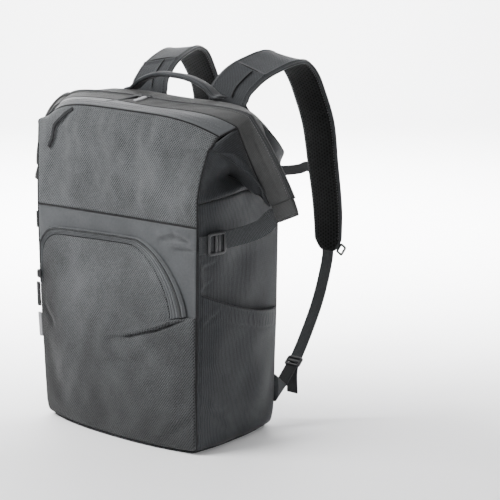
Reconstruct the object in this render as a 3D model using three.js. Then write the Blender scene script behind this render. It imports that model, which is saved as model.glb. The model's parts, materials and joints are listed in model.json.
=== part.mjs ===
// Camera backpack with a gable-folded top, standing by itself.
// +Z is up, the bag's front faces -Y, its back panel and shoulder straps face +Y.
// The origin is the centre of the base's underside. Millimetres throughout.
// Every panel is a closed wall of its own, cut from one body surface that two tables describe.

import * as THREE from "three";

// Driving sizes of the bag's body
const WIDTH = 300;
const DEPTH = 175;
const SEAM_HEIGHT = 313;
const TOP_HEIGHT = 463;
const EAR_REACH = 91;
const EAR_GAP = 5;
const TOP_LEAN = 13;
const WALL = 2;
const BACK_PADDING = 7;
const BASE_THICKNESS = 2.5;
const CLEARANCE = 0.3;
const LAY = 0.6;

// Front pocket and side pockets
const POCKET_BULGE = 13;
const POCKET_BAND = 3;
const POCKET_SHOULDER = 288;
const POCKET_CORNER = 37;
const BAND_OVER_TOP = 10.5;
const BAND_AT_RIGHT = 25;
const BAND_AT_LEFT = 7;
const POCKET_END = 193;
const BAND_LEFT_END = 200;
const SIDE_POCKET_LOW = 177;
const SIDE_POCKET_RISE = 46;
const SIDE_POCKET_BULGE = 9;

// Zip along the top, ear tabs and side straps
const ZIP_WIDTH = 6;
const ZIP_THICKNESS = 2;
const TAB_LENGTH = 21;
const TAB_THICKNESS = 8;
const SIDE_WEBBING = 24;
const WEBBING_THICKNESS = 1.6;
const SIDE_STRAP_HEIGHT = 290;
const SIDE_BUCKLE_LENGTH = 34;
const SIDE_BUCKLE_MARGIN = 3.5;
const BUCKLE_THICKNESS = 3;

// Carrying gear
const STRAP_SPACING = 148;
const STRAP_WIDTH = 61;
const STRAP_THICKNESS = 11;
const STRAP_TOP = 516;
const STRAP_DROP = 287;
const STRAP_REACH = 171;
const STRAP_SPLAY = 53.5;
const WEBBING_WIDTH = 20;
const ANCHOR_HEIGHT = 55;
const ANCHOR_WIDTH = 40;
const TAIL_LENGTH = 42;
const STERNUM_HEIGHT = 350;
const STERNUM_WEBBING = 15;
const STERNUM_SAG = 10;
const HANDLE_SPAN = 176;
const HANDLE_RISE = 33;
const HANDLE_WIDTH = 22;
const HANDLE_THICKNESS = 7;
const HANDLE_PLACE = 38;

const HALF_WIDTH = WIDTH / 2;
const HALF_DEPTH = DEPTH / 2;
const FLOOR = BASE_THICKNESS + CLEARANCE;
const TOP_RISE = TOP_HEIGHT - SEAM_HEIGHT;
const V = (x, y, z) => new THREE.Vector3(x, y, z);

// Body walls from the base to the front seam. Levels are shares of the seam's height,
// x is a share of half the width and y of half the depth.
const WALL_COLUMNS = ["level", "midY", "cornerX", "cornerY", "sideX", "backY"];
const WALL_ROWS = [
  [0.0, 0.96, 0.9, 0.88, 0.94, 0.87],
  [0.02, 0.989, 0.947, 0.943, 0.98, 0.937],
  [0.068, 1.006, 0.963, 0.966, 0.997, 0.971],
  [0.152, 1.011, 0.967, 0.977, 1.005, 0.989],
  [0.313, 1.017, 0.973, 0.989, 1.022, 0.994],
  [0.507, 1.011, 0.987, 1.0, 1.033, 1.0],
  [0.716, 1.0, 0.995, 1.006, 1.044, 1.0],
  [0.894, 0.983, 1.002, 1.006, 1.055, 1.0],
  [1.0, 0.966, 1.005, 1.0, 1.071, 1.0],
];

// The top from the front seam to the zip. Levels 1 to 2 run from the seam to the zip,
// x above 1 is a share of the ear's reach, and lean is a share of the top's lean.
const TOP_COLUMNS = [
  "midY", "midL", "cornerX", "cornerY", "cornerL", "quarterX", "quarterY", "quarterL",
  "sideX", "sideL", "backX", "backY", "backL", "backMidY", "backMidL", "lean", "power", "steps",
];
const TOP_ROWS = [
  // The gusset's lower edge, where the side bulges over its strap
  [0.966, 1.207, 1.002, 0.994, 1.207, 1.11, 0.503, 1.24, 1.121, 1.267, 1.0, 1.0, 1.207, 1.0, 1.207, 0, 2, 1],
  // The lip turning in over the bulge
  [0.966, 1.287, 1.004, 0.983, 1.273, 1.0, 0.48, 1.327, 0.947, 1.34, 1.0, 0.99, 1.273, 1.0, 1.28, 0, 2, 2],
  // The deep tuck
  [0.971, 1.48, 1.038, 0.937, 1.433, 0.887, 0.434, 1.433, 0.747, 1.38, 1.03, 0.965, 1.4, 0.985, 1.45, 0.2, 2, 2],
  // The underside of the ear
  [0.971, 1.58, 1.077, 0.88, 1.567, 1.0, 0.457, 1.527, 0.933, 1.327, 1.08, 0.94, 1.5, 0.965, 1.56, 0.6, 2, 2],
  // The peaks at the four corners and the ear's lower fold
  [0.95, 1.743, 1.11, 0.811, 1.743, 1.37, 0.394, 1.49, 1.54, 1.165, 1.15, 0.914, 1.63, 0.92, 1.74, 1, 3, 3],
  // The seam along the front of the top
  [0.8, 1.955, 1.077, 0.56, 1.8, 1.398, 0.309, 1.5, 1.578, 1.15, 1.1, 0.62, 1.79, 0.72, 1.93, 0.5, 4, 2],
  // The edge of the zip facing, down the ear to its tip
  [0.4, 1.975, 1.176, 0.274, 1.867, 1.43, 0.229, 1.513, 1.62, 1.156, 1.16, 0.33, 1.88, 0.4, 2.02, 0.35, 6, 2],
  // The main zip
  [0.0, 2.0, 1.22, 0.0, 1.95, 1.626, 0.0, 1.633, 2.0, 1.253, 1.22, 0.0, 1.95, 0.0, 2.0, 0.3, 8, 2],
];

// The shoulder strap's middle line: splay, reach and height are shares of the strap's
// own sizes from its seat on the back to its lower end; width is a share of the strap's.
const STRAP_COLUMNS = ["splay", "reach", "height", "width", "roll"];
const STRAP_ROWS = [
  [0.0, 0.02, 0.721, 1.0, 0.1],
  [0.0, 0.0, 0.783, 1.0, 0.12],
  [0.037, 0.035, 0.85, 1.0, 0.2],
  [0.096, 0.13, 0.903, 1.0, 0.24],
  [0.16, 0.22, 0.938, 1.0, 0.24],
  [0.266, 0.38, 0.975, 1.0, 0.23],
  [0.352, 0.56, 1.0, 1.0, 0.22],
  [0.405, 0.69, 0.987, 1.0, 0.16],
  [0.458, 0.81, 0.916, 1.0, 0.05],
  [0.49, 0.92, 0.783, 1.0, 0.0],
  [0.6, 0.975, 0.651, 0.98, 0.0],
  [0.725, 0.99, 0.46, 0.92, 0.0],
  [0.92, 0.985, 0.22, 0.87, 0.0],
  [1.0, 0.965, 0.059, 0.8, 0.0],
  [1.0, 0.96, 0.0, 0.45, 0.0],
];

const named = (columns, row) => Object.fromEntries(columns.map((key, i) => [key, row[i]]));

// A wall row has one level all round, and its sides are fullest in the middle.
function wallRow(row) {
  const w = named(WALL_COLUMNS, row);
  const L = w.level;
  const quarterX = w.cornerX + (w.sideX - w.cornerX) * 0.85;
  return {
    midY: w.midY, midL: L, cornerX: w.cornerX, cornerY: w.cornerY, cornerL: L,
    quarterX, quarterY: w.cornerY / 2, quarterL: L, sideX: w.sideX, sideL: L,
    backX: w.cornerX - 0.01, backY: w.backY, backL: L, backMidY: w.backY, backMidL: L,
    lean: 0, power: 2, steps: 1,
  };
}
const ROWS = [...WALL_ROWS.map(wallRow), ...TOP_ROWS.map((row) => named(TOP_COLUMNS, row))];
const SEAM_ROW = WALL_ROWS.length - 1;
const SHOULDER_ROW = SEAM_ROW + 1;
const BROW_ROW = SEAM_ROW + 6;
const CROWN_ROW = SEAM_ROW + 7;
const RIM_ROW = SEAM_ROW + 8;

const xOf = (share) => (share <= 1 ? share * HALF_WIDTH : HALF_WIDTH + (share - 1) * EAR_REACH);
const yOf = (share) => Math.max(share * HALF_DEPTH, EAR_GAP);
const zOf = (level) =>
  level <= 1 ? FLOOR + level * (SEAM_HEIGHT - FLOOR) : SEAM_HEIGHT + (level - 1) * TOP_RISE;

// Every column runs through its rows as a smooth curve.
function rowAt(v) {
  const i = Math.min(Math.floor(v), ROWS.length - 2);
  const t = v - i;
  const at = (k) => ROWS[THREE.MathUtils.clamp(k, 0, ROWS.length - 1)];
  const curve = (key) => {
    const [a, b, c, d] = [at(i - 1)[key], at(i)[key], at(i + 1)[key], at(i + 2)[key]];
    return b + 0.5 * t * (c - a + t * (2 * a - 5 * b + 4 * c - d + t * (3 * (b - c) + d - a)));
  };
  return Object.fromEntries(Object.keys(ROWS[0]).map((key) => [key, curve(key)]));
}

// Through three values at 0, 1/2 and 1
const through = (a, b, c, s) => a * (1 - s) * (1 - 2 * s) + b * 4 * s * (1 - s) + c * s * (2 * s - 1);
const leanOf = (row, x) => (-row.lean * TOP_LEAN * x) / (2 * HALF_WIDTH);

// Across the front (facing -1) or the back (facing 1), a runs from -1 to 1.
function acrossPoint(v, a, facing) {
  const r = rowAt(v);
  const [cx, cy, cl, my, ml] =
    facing < 0
      ? [r.cornerX, r.cornerY, r.cornerL, r.midY, r.midL]
      : [r.backX, r.backY, r.backL, r.backMidY, r.backMidL];
  const inner = 1 - Math.abs(a) ** r.power;
  const x = a * xOf(cx);
  const y = yOf(cy) + (yOf(my) - yOf(cy)) * inner;
  const z = zOf(cl) + (zOf(ml) - zOf(cl)) * inner;
  return V(x, facing * y, z + leanOf(r, x));
}

// Round a side (hand 1 is the right), s runs from the corner to the side's middle.
function sidePoint(v, s, hand, facing) {
  const r = rowAt(v);
  const [cx, cy, cl] = facing < 0 ? [r.cornerX, r.cornerY, r.cornerL] : [r.backX, r.backY, r.backL];
  const drop = (zOf(r.backL) - zOf(r.cornerL)) * (facing < 0 ? 0 : 0.5);
  const x = hand * through(xOf(cx), xOf(r.quarterX), xOf(r.sideX), s);
  const y = through(yOf(cy), yOf(r.quarterY), EAR_GAP, s);
  const z = through(zOf(cl), zOf(r.quarterL) + drop, zOf(r.sideL), s);
  return V(x, facing * y, z + leanOf(r, x) * (1 - s));
}

// One ring of stations round the body: front, right side, back, left side
const FRONT_STEPS = 12;
const SIDE_STEPS = 6;
const BACK_STEPS = 8;
const steps = (n, from = 0, to = 1) => Array.from({ length: n + 1 }, (_, i) => from + ((to - from) * i) / n);
const STATIONS = [
  ...steps(FRONT_STEPS, -1, 1).map((a) => (v) => acrossPoint(v, a, -1)),
  ...steps(SIDE_STEPS).slice(1).map((s) => (v) => sidePoint(v, s, 1, -1)),
  ...steps(SIDE_STEPS, 1, 0).map((s) => (v) => sidePoint(v, s, 1, 1)),
  ...steps(BACK_STEPS, 1, -1).slice(1).map((a) => (v) => acrossPoint(v, a, 1)),
  ...steps(SIDE_STEPS).slice(1).map((s) => (v) => sidePoint(v, s, -1, 1)),
  ...steps(SIDE_STEPS, 1, 0).slice(0, -1).map((s) => (v) => sidePoint(v, s, -1, -1)),
];
const FRONT_RIGHT = FRONT_STEPS;
const MIDDLE_RIGHT = FRONT_RIGHT + SIDE_STEPS;
const BACK_RIGHT = MIDDLE_RIGHT + 1 + SIDE_STEPS;
const BACK_LEFT = BACK_RIGHT + BACK_STEPS;
const MIDDLE_LEFT = BACK_LEFT + SIDE_STEPS;
const RING = STATIONS.length;

// The levels of the grid: each row's steps, and where each row falls among them
const LEVELS = [0];
const INDEX = [0];
ROWS.slice(1).forEach((row, i) => {
  for (let k = 1; k <= row.steps; k++) LEVELS.push(i + k / row.steps);
  INDEX.push(LEVELS.length - 1);
});

const OUTER = LEVELS.map((v) => STATIONS.map((station) => station(v)));
const NORMAL = OUTER.map((row, i) =>
  row.map((p, j) => {
    const up = OUTER[Math.min(i + 1, OUTER.length - 1)][j].clone();
    up.sub(OUTER[Math.max(i - 1, 0)][j]);
    const round = row[(j + 1) % RING].clone().sub(row[(j + RING - 1) % RING]);
    return round.cross(up).normalize();
  }),
);

// A closed solid between two grids of like size: outer, inner and the four edges
function shellBetween(outer, inner) {
  const rows = outer.length;
  const cols = outer[0].length;
  const points = [...outer.flat(), ...inner.flat()];
  const index = [];
  const quad = (a, b, c, d) => index.push(a, b, c, a, c, d);
  const o = (i, j) => i * cols + j;
  const n = (i, j) => rows * cols + i * cols + j;
  for (let i = 0; i + 1 < rows; i++) {
    for (let j = 0; j + 1 < cols; j++) {
      quad(o(i, j), o(i, j + 1), o(i + 1, j + 1), o(i + 1, j));
      quad(n(i, j), n(i + 1, j), n(i + 1, j + 1), n(i, j + 1));
    }
    quad(o(i, 0), o(i + 1, 0), n(i + 1, 0), n(i, 0));
    quad(o(i, cols - 1), n(i, cols - 1), n(i + 1, cols - 1), o(i + 1, cols - 1));
  }
  for (let j = 0; j + 1 < cols; j++) {
    quad(o(0, j), n(0, j), n(0, j + 1), o(0, j + 1));
    quad(o(rows - 1, j), o(rows - 1, j + 1), n(rows - 1, j + 1), n(rows - 1, j));
  }
  const flat = points.flatMap((p) => [p.x, p.y, p.z]);
  const geometry = new THREE.BufferGeometry();
  geometry.setAttribute("position", new THREE.Float32BufferAttribute(flat, 3));
  geometry.setIndex(index);
  return geometry;
}

const SEAM_GAP = CLEARANCE * 0.7;
const EAR_WALL = 1.2;
const EAR_SEAM_GAP = 0.45;

// The grid's first and last rows and columns drawn in, so that neighbours keep their clearance
function drawnIn(grid, inset) {
  const toward = (p, q) => p.clone().add(q.clone().sub(p).setLength(inset));
  const rows = grid.map((row) => [
    toward(row[0], row[1]),
    ...row.slice(1, -1),
    toward(row.at(-1), row.at(-2)),
  ]);
  const end = (a, b) => a.map((p, j) => toward(p, b[j]));
  return [end(rows[0], rows[1]), ...rows.slice(1, -1), end(rows.at(-1), rows.at(-2))];
}

// A panel of the body from one row to another, and from one station round to another.
// Its edges are one wall thick, and its middle is as thick as its padding.
function panel(fromRow, toRow, fromStation, toStation, { wall = WALL, padding = wall, inset = SEAM_GAP } = {}) {
  const is = steps(INDEX[toRow] - INDEX[fromRow], INDEX[fromRow], INDEX[toRow]);
  const js = steps(toStation - fromStation, fromStation, toStation).map((j) => (j + RING) % RING);
  const outer = is.map((i) => js.map((j) => OUTER[i][j]));
  const inner = is.map((i, m) =>
    js.map((j, n) => {
      const edge = m === 0 || n === 0 || m === is.length - 1 || n === js.length - 1;
      return OUTER[i][j].clone().addScaledVector(NORMAL[i][j], -(edge ? wall : padding));
    }),
  );
  return shellBetween(drawnIn(outer, inset), drawnIn(inner, inset));
}

// The plain wall surfaces as functions of place, for what lies on them
function wallLevel(z) {
  const levels = WALL_ROWS.map((row) => row[0]);
  let [low, high] = [0, SEAM_ROW];
  const goal = THREE.MathUtils.clamp((z - FLOOR) / (SEAM_HEIGHT - FLOOR), 0, levels.at(-1));
  for (let k = 0; k < 30; k++) {
    const mid = (low + high) / 2;
    if (rowAt(mid).midL < goal) low = mid;
    else high = mid;
  }
  return (low + high) / 2;
}
const frontEdge = (z) => xOf(rowAt(wallLevel(z)).cornerX);
const frontY = (x, z) => {
  const a = THREE.MathUtils.clamp(x / frontEdge(z), -1, 1);
  return acrossPoint(wallLevel(z), a, -1).y;
};
function sideX(y, z) {
  const r = rowAt(wallLevel(z));
  const corner = y < 0 ? yOf(r.cornerY) : yOf(r.backY);
  const s = THREE.MathUtils.clamp((corner - Math.abs(y)) / (corner - EAR_GAP), 0, 1);
  return Math.abs(sidePoint(wallLevel(z), s, 1, Math.sign(y) || 1).x);
}

// The heights of a pocket's rows under a top at z: the base's own rows, then even shares
const POCKET_RISES = [
  ...WALL_ROWS.slice(0, 4).map((row) => () => zOf(row[0])),
  ...steps(5).slice(1).map((t) => (z) => zOf(WALL_ROWS[3][0]) * (1 - t) + z * t),
];

// Front pocket: how far its face stands off the front panel
const POCKET_FULL = 130;
const POCKET_FOOT = 40;
function pocketBulge(x, z) {
  const a = Math.min(Math.abs(x) / frontEdge(z), 1);
  const low = 0.85 + 0.15 * THREE.MathUtils.smoothstep(z, FLOOR, FLOOR + POCKET_FOOT);
  const high = 1 - THREE.MathUtils.smoothstep(z, POCKET_FULL, POCKET_SHOULDER);
  return POCKET_BULGE * (1 - a ** 3) * low * high;
}
const BODY_LOW = WALL_ROWS[3][0];
function pocketPoint(x, z, off) {
  const narrow = Math.min(1, frontEdge(z) / frontEdge(zOf(BODY_LOW)));
  return V(x * narrow, frontY(x * narrow, z) - LAY - off - pocketBulge(x, z), z);
}

// The pocket's arch, from the left side over the top and down to its right end, drawn in
// by its own distance at each side: straight, round corner, crown, and one long fall
const ARCH_STEPS = { rise: 2, corner: 4, crown: 4, fall: 9 };
const ARCH_FALL = 1.6;
const ARCH_MARGIN = 3;
function archPoints(inset) {
  const left = -HALF_WIDTH + ARCH_MARGIN + inset.left;
  const top = POCKET_SHOULDER - inset.top;
  const shoulder = top - 3;
  const right = HALF_WIDTH * 0.887 - inset.right;
  const turn = HALF_WIDTH * 0.267 - inset.right * 0.4;
  const radius = POCKET_CORNER - inset.top * 0.4;
  const low = POCKET_END - inset.right * 0.25;
  const points = [];
  const climb = shoulder - radius - BAND_LEFT_END;
  steps(ARCH_STEPS.rise).forEach((t) => points.push([left, BAND_LEFT_END + climb * t]));
  steps(ARCH_STEPS.corner).slice(1).forEach((t) => {
    const angle = (t * Math.PI) / 2;
    points.push([left + radius * (1 - Math.cos(angle)), shoulder - radius * (1 - Math.sin(angle))]);
  });
  const start = left + radius;
  steps(ARCH_STEPS.crown).slice(1).forEach((t) => {
    points.push([start + (turn - start) * t, shoulder + (top - shoulder) * Math.sin((t * Math.PI) / 2)]);
  });
  steps(ARCH_STEPS.fall).slice(1).forEach((t) => {
    const angle = (t * Math.PI) / 2;
    const k = 2 / ARCH_FALL;
    points.push([
      turn + (right - turn) * Math.sin(angle) ** k,
      low + (top - low) * Math.max(Math.cos(angle), 0) ** k,
    ]);
  });
  return points;
}
const BAND_INSET = { left: BAND_AT_LEFT, top: BAND_OVER_TOP, right: BAND_AT_RIGHT };

function pocketBand() {
  const outerLine = archPoints({ left: 0, top: 0, right: 0 });
  const innerLine = archPoints(BAND_INSET);
  const across = steps(3);
  const grid = (off) =>
    across.map((t) =>
      outerLine.map(([x, z], i) => {
        const [u, w] = innerLine[i];
        return pocketPoint(u + (x - u) * t, w + (z - w) * t, off);
      }),
    );
  return shellBetween(grid(POCKET_BAND), grid(0));
}

// The pocket's face reaches the left seam under the band's end, and the right seam under the arch.
function frontPocket() {
  const gap = CLEARANCE;
  const inset = { left: BAND_AT_LEFT + gap, top: BAND_OVER_TOP + gap, right: BAND_AT_RIGHT + gap };
  const inner = archPoints(inset).slice(ARCH_STEPS.rise);
  const [startX] = inner[0];
  const [endX, endZ] = inner.at(-1);
  const leftTop = BAND_LEFT_END - gap;
  const last = HALF_WIDTH * 0.94;
  const seamEnd = POCKET_END - gap;
  const top = [
    [startX - BAND_AT_LEFT, leftTop],
    [startX - gap * 0.7, leftTop],
    ...inner,
    [endX + (last - endX) * 0.35, endZ + (seamEnd - endZ) * 0.6 - 1],
    [endX + (last - endX) * 0.7, seamEnd - 1],
    [last, seamEnd],
  ].filter(([x], i, all) => i === 0 || x > all[i - 1][0] + 0.1);
  const grid = (off) =>
    POCKET_RISES.map((rise) => top.map(([x, z]) => pocketPoint(x, rise(z), off)));
  return shellBetween(grid(WALL), grid(0));
}

// Side pocket: a wall that stands off the side, tight at its seams and slack at its mouth
function sidePocket(hand) {
  const frontLimit = HALF_DEPTH * 0.94;
  const backLimit = HALF_DEPTH * 0.92;
  const mouth = (y) =>
    SIDE_POCKET_LOW + SIDE_POCKET_RISE * ((backLimit - y) / (backLimit + frontLimit)) ** 1.7;
  const across = steps(10, -frontLimit, backLimit);
  const grid = (off) =>
    POCKET_RISES.map((rise) =>
      across.map((y) => {
        const z = rise(mouth(y));
        const narrow = Math.min(1, yOf(rowAt(wallLevel(z)).cornerY) / yOf(rowAt(3).cornerY));
        const slack = SIDE_POCKET_BULGE * THREE.MathUtils.smoothstep(z, FLOOR, mouth(y));
        const full = 1 - Math.abs((2 * (y + frontLimit)) / (frontLimit + backLimit) - 1) ** 2.5;
        return V(sideX(y * narrow, z) + LAY + off + slack * full, y * narrow, z);
      }),
    );
  return handed(shellBetween(grid(WALL), grid(0)), hand);
}

// A right-hand solid, or its mirror image with its faces turned round again
function handed(geometry, hand) {
  if (hand > 0) return geometry;
  const mirrored = geometry.clone().scale(-1, 1, 1);
  const index = mirrored.index.array;
  for (let i = 0; i < index.length; i += 3) [index[i + 1], index[i + 2]] = [index[i + 2], index[i + 1]];
  return mirrored;
}

// A ribbon along a list of stations, each with its middle, its side direction, width and
// thickness. The section is a flattened octagon, or a plain rectangle for webbing.
function ribbon(stations, round) {
  const corner = round ? 0.3 : 0;
  const rings = stations.map(({ at, side, width, thickness }, i) => {
    const before = stations[Math.max(i - 1, 0)].at;
    const after = stations[Math.min(i + 1, stations.length - 1)].at;
    const along = after.clone().sub(before).normalize();
    const across = side.clone().addScaledVector(along, -side.dot(along)).normalize();
    const up = along.clone().cross(across).normalize();
    const section = round
      ? [[-1, -corner], [-0.86, -1], [0, -1.06], [0.86, -1], [1, -corner], [1, corner], [0.86, 1], [0, 1.06],
         [-0.86, 1], [-1, corner]]
      : [[-1, -1], [1, -1], [1, 1], [-1, 1]];
    return section.map(([a, b]) =>
      at.clone().addScaledVector(across, (a * width) / 2).addScaledVector(up, (b * thickness) / 2),
    );
  });
  const count = rings[0].length;
  const points = rings.flat();
  const index = [];
  for (let i = 0; i + 1 < rings.length; i++) {
    for (let j = 0; j < count; j++) {
      const [a, b] = [i * count + j, i * count + ((j + 1) % count)];
      index.push(a, b, b + count, a, b + count, a + count);
    }
  }
  const last = (rings.length - 1) * count;
  for (let j = 1; j + 1 < count; j++) {
    index.push(0, j + 1, j);
    index.push(last, last + j, last + j + 1);
  }
  const geometry = new THREE.BufferGeometry();
  const flat = points.flatMap((p) => [p.x, p.y, p.z]);
  geometry.setAttribute("position", new THREE.Float32BufferAttribute(flat, 3));
  geometry.setIndex(index);
  return geometry;
}

const smoothPath = (points, count) =>
  new THREE.CatmullRomCurve3(points, false, "centripetal").getSpacedPoints(count);

// Webbing of one width along a few points, turning from one side direction to another
function webbing(points, count, width, from, to, thickness = WEBBING_THICKNESS) {
  const path = smoothPath(points, count);
  return ribbon(
    path.map((at, i) => ({ at, side: from.clone().lerp(to, i / count), width, thickness })),
    false,
  );
}

// A flat frame with slots, lying in its own plane; x is its length and y its width.
function slottedFrame(length, width, thickness, slots) {
  const outline = new THREE.Shape();
  const [a, b, r] = [length / 2, width / 2, 2];
  outline.moveTo(-a + r, -b);
  outline.lineTo(a - r, -b);
  outline.quadraticCurveTo(a, -b, a, -b + r);
  outline.lineTo(a, b - r);
  outline.quadraticCurveTo(a, b, a - r, b);
  outline.lineTo(-a + r, b);
  outline.quadraticCurveTo(-a, b, -a, b - r);
  outline.lineTo(-a, -b + r);
  outline.quadraticCurveTo(-a, -b, -a + r, -b);
  for (const [middle, slotLength, slotWidth] of slots) {
    const hole = new THREE.Path();
    hole.moveTo(middle - slotLength / 2, -slotWidth / 2);
    hole.lineTo(middle - slotLength / 2, slotWidth / 2);
    hole.lineTo(middle + slotLength / 2, slotWidth / 2);
    hole.lineTo(middle + slotLength / 2, -slotWidth / 2);
    outline.holes.push(hole);
  }
  const options = { depth: thickness, bevelEnabled: false, curveSegments: 3 };
  return new THREE.ExtrudeGeometry(outline, options).translate(0, 0, -thickness / 2);
}

// Lay a flat piece so that its x runs along one direction and its z along another.
function laid(geometry, at, along, out) {
  const x = along.clone().normalize();
  const z = out.clone().addScaledVector(x, -out.dot(x)).normalize();
  const y = z.clone().cross(x);
  return geometry.applyMatrix4(new THREE.Matrix4().makeBasis(x, y, z).setPosition(at));
}

// The base: a flat board under the walls, bowed out at the front to carry the pocket
function basePanel() {
  const outline = STATIONS.map((_, j) => {
    const p = OUTER[0][j];
    const front = j <= FRONT_RIGHT;
    const y = front ? pocketPoint(p.x, FLOOR, WALL).y : p.y;
    return new THREE.Vector2(p.x, y);
  });
  const options = { depth: BASE_THICKNESS, bevelEnabled: false };
  return new THREE.ExtrudeGeometry(new THREE.Shape(outline), options);
}

// The main zip, from one ear's tip over the top to the other's
function mainZip() {
  const lift = 0.4;
  const line = [
    ...steps(SIDE_STEPS * 2, 1, 0).map((s) => sidePoint(RIM_ROW, s, -1, -1)),
    ...steps(FRONT_STEPS, -1, 1).slice(1, -1).map((a) => acrossPoint(RIM_ROW, a, -1)),
    ...steps(SIDE_STEPS * 2).map((s) => sidePoint(RIM_ROW, s, 1, -1)),
  ];
  const stations = line.map((p, i) => {
    const along = line[Math.min(i + 1, line.length - 1)].clone().sub(line[Math.max(i - 1, 0)]);
    const out = V(-along.z, 0, along.x).normalize();
    const at = V(p.x, 0, p.z).addScaledVector(out, lift - ZIP_THICKNESS / 2);
    return { at, side: V(0, -1, 0), width: ZIP_WIDTH, thickness: ZIP_THICKNESS };
  });
  return ribbon(stations, false);
}

// The stitched tab across the ear's end: a flat bar from the facing's edge to the zip
const EAR_LOW = sidePoint(CROWN_ROW, 1, 1, -1);
const EAR_HIGH = sidePoint(RIM_ROW, 1, 1, -1);
const EAR_ACROSS = V(EAR_HIGH.x - EAR_LOW.x, 0, EAR_HIGH.z - EAR_LOW.z).normalize();
const EAR_OUT = V(EAR_ACROSS.z, 0, -EAR_ACROSS.x);
function earTab(hand) {
  const width = Math.hypot(EAR_HIGH.x - EAR_LOW.x, EAR_HIGH.z - EAR_LOW.z);
  const middle = V((EAR_LOW.x + EAR_HIGH.x) / 2, 0, (EAR_LOW.z + EAR_HIGH.z) / 2);
  middle.addScaledVector(EAR_OUT, CLEARANCE + ZIP_THICKNESS + TAB_LENGTH / 2);
  const bar = slottedFrame(TAB_LENGTH, width, TAB_THICKNESS, []);
  return turned(laid(bar, middle, EAR_OUT, V(0, -1, 0)), hand);
}

// The same as handed, for a geometry that may have no index
function turned(geometry, hand) {
  if (hand > 0) return geometry;
  const mirrored = geometry.clone().scale(-1, 1, 1);
  const p = mirrored.attributes.position;
  for (let i = 0; i < p.count; i += 3) {
    const [b, c] = [V().fromBufferAttribute(p, i + 1), V().fromBufferAttribute(p, i + 2)];
    p.setXYZ(i + 1, c.x, c.y, c.z);
    p.setXYZ(i + 2, b.x, b.y, b.z);
  }
  return mirrored;
}

// The side strap: from the ear's tab down and forward to its buckle by the front seam.
// On the wall it leans as the wall does.
const STRAP_OFF = LAY + WEBBING_THICKNESS;
const BUCKLE_Y = -HALF_DEPTH * 0.66;
const wallDown = (y, z) => V(sideX(y, z - SIDE_WEBBING / 2) - sideX(y, z + SIDE_WEBBING / 2), 0, -SIDE_WEBBING);
const wallOut = (y, z) => V(-wallDown(y, z).z, 0, wallDown(y, z).x).normalize();
const onWall = (y, z, off) => V(sideX(y, z), y, z).addScaledVector(wallOut(y, z), off);
const TAB_FOOT = EAR_LOW.clone().addScaledVector(EAR_OUT, ZIP_THICKNESS + TAB_LENGTH / 2 + 1.5).setY(0);
function sideStrap(hand) {
  const z = SIDE_STRAP_HEIGHT;
  const low = onWall(-HALF_DEPTH * 0.4, z + 2, STRAP_OFF + 1);
  const span = low.clone().sub(TAB_FOOT);
  const outward = (share, out, forward, drop) =>
    TAB_FOOT.clone().addScaledVector(span, share).add(V(out, forward, -drop));
  const points = [
    TAB_FOOT.clone().addScaledVector(EAR_ACROSS, -CLEARANCE),
    TAB_FOOT.clone().addScaledVector(EAR_ACROSS, -7),
    outward(0.38, 4, 7, 3),
    outward(0.68, 3, 7, 3),
    low,
    onWall(-HALF_DEPTH * 0.6, z, STRAP_OFF),
    onWall(-HALF_DEPTH * 0.78, z, STRAP_OFF),
    onWall(-HALF_DEPTH * 0.94, z, STRAP_OFF),
  ];
  return handed(webbing(points, 20, SIDE_WEBBING, EAR_OUT.clone(), wallDown(BUCKLE_Y, z)), hand);
}

function sideBuckle(hand) {
  const wide = SIDE_WEBBING + 2 * SIDE_BUCKLE_MARGIN;
  const [near, far] = [-SIDE_BUCKLE_LENGTH * 0.24, SIDE_BUCKLE_LENGTH * 0.22];
  const slots = [[near, 5, SIDE_WEBBING], [far, 6, SIDE_WEBBING + 1]];
  const frame = slottedFrame(SIDE_BUCKLE_LENGTH, wide, BUCKLE_THICKNESS, slots);
  const z = SIDE_STRAP_HEIGHT;
  const off = STRAP_OFF + WEBBING_THICKNESS / 2 + LAY + BUCKLE_THICKNESS / 2;
  const reach = SIDE_BUCKLE_LENGTH / 2;
  const along = onWall(BUCKLE_Y + reach, z, off).sub(onWall(BUCKLE_Y - reach, z, off));
  return turned(laid(frame, onWall(BUCKLE_Y, z, off), along, wallOut(BUCKLE_Y, z)), hand);
}

// How far back the body reaches at a place on its back, up to the top's back seam
function backY(x, z) {
  let [low, high] = [0, BROW_ROW];
  for (let k = 0; k < 30; k++) {
    const mid = (low + high) / 2;
    if (acrossPoint(mid, x / xOf(rowAt(mid).backX), 1).z < z) low = mid;
    else high = mid;
  }
  return acrossPoint(low, x / xOf(rowAt(low).backX), 1).y;
}

// The strap's stations along its middle line, kept off the bag's back where it starts
function strapStations() {
  const rows = STRAP_ROWS.map((row) => named(STRAP_COLUMNS, row));
  const off = STRAP_THICKNESS * 0.53 + LAY;
  const seat = acrossPoint(BROW_ROW, 0, 1).y + off;
  const points = rows.map((r) =>
    V(
      STRAP_SPACING / 2 + r.splay * STRAP_SPLAY,
      seat + r.reach * STRAP_REACH,
      STRAP_TOP - STRAP_DROP * (1 - r.height),
    ),
  );
  const dip = STRAP_WIDTH * 0.06;
  const clear = ({ x, y, z }) => {
    const edges = [x - STRAP_WIDTH / 2, x + STRAP_WIDTH / 2];
    const backs = edges.flatMap((edge) => [backY(edge, z - dip), backY(-edge, z - dip)]);
    return V(x, Math.max(y, Math.max(...backs) + off), z);
  };
  const curve = new THREE.CatmullRomCurve3(points, false, "centripetal");
  const count = rows.length - 1;
  return steps(count * 2).map((t) => {
    const i = Math.min(Math.floor(t * count), count - 1);
    const f = t * count - i;
    const mix = (key) => rows[i][key] * (1 - f) + rows[i + 1][key] * f;
    return {
      at: clear(curve.getPoint(t)),
      side: V(1, 0, -mix("roll")),
      width: STRAP_WIDTH * mix("width"),
      thickness: STRAP_THICKNESS,
    };
  });
}
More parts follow.
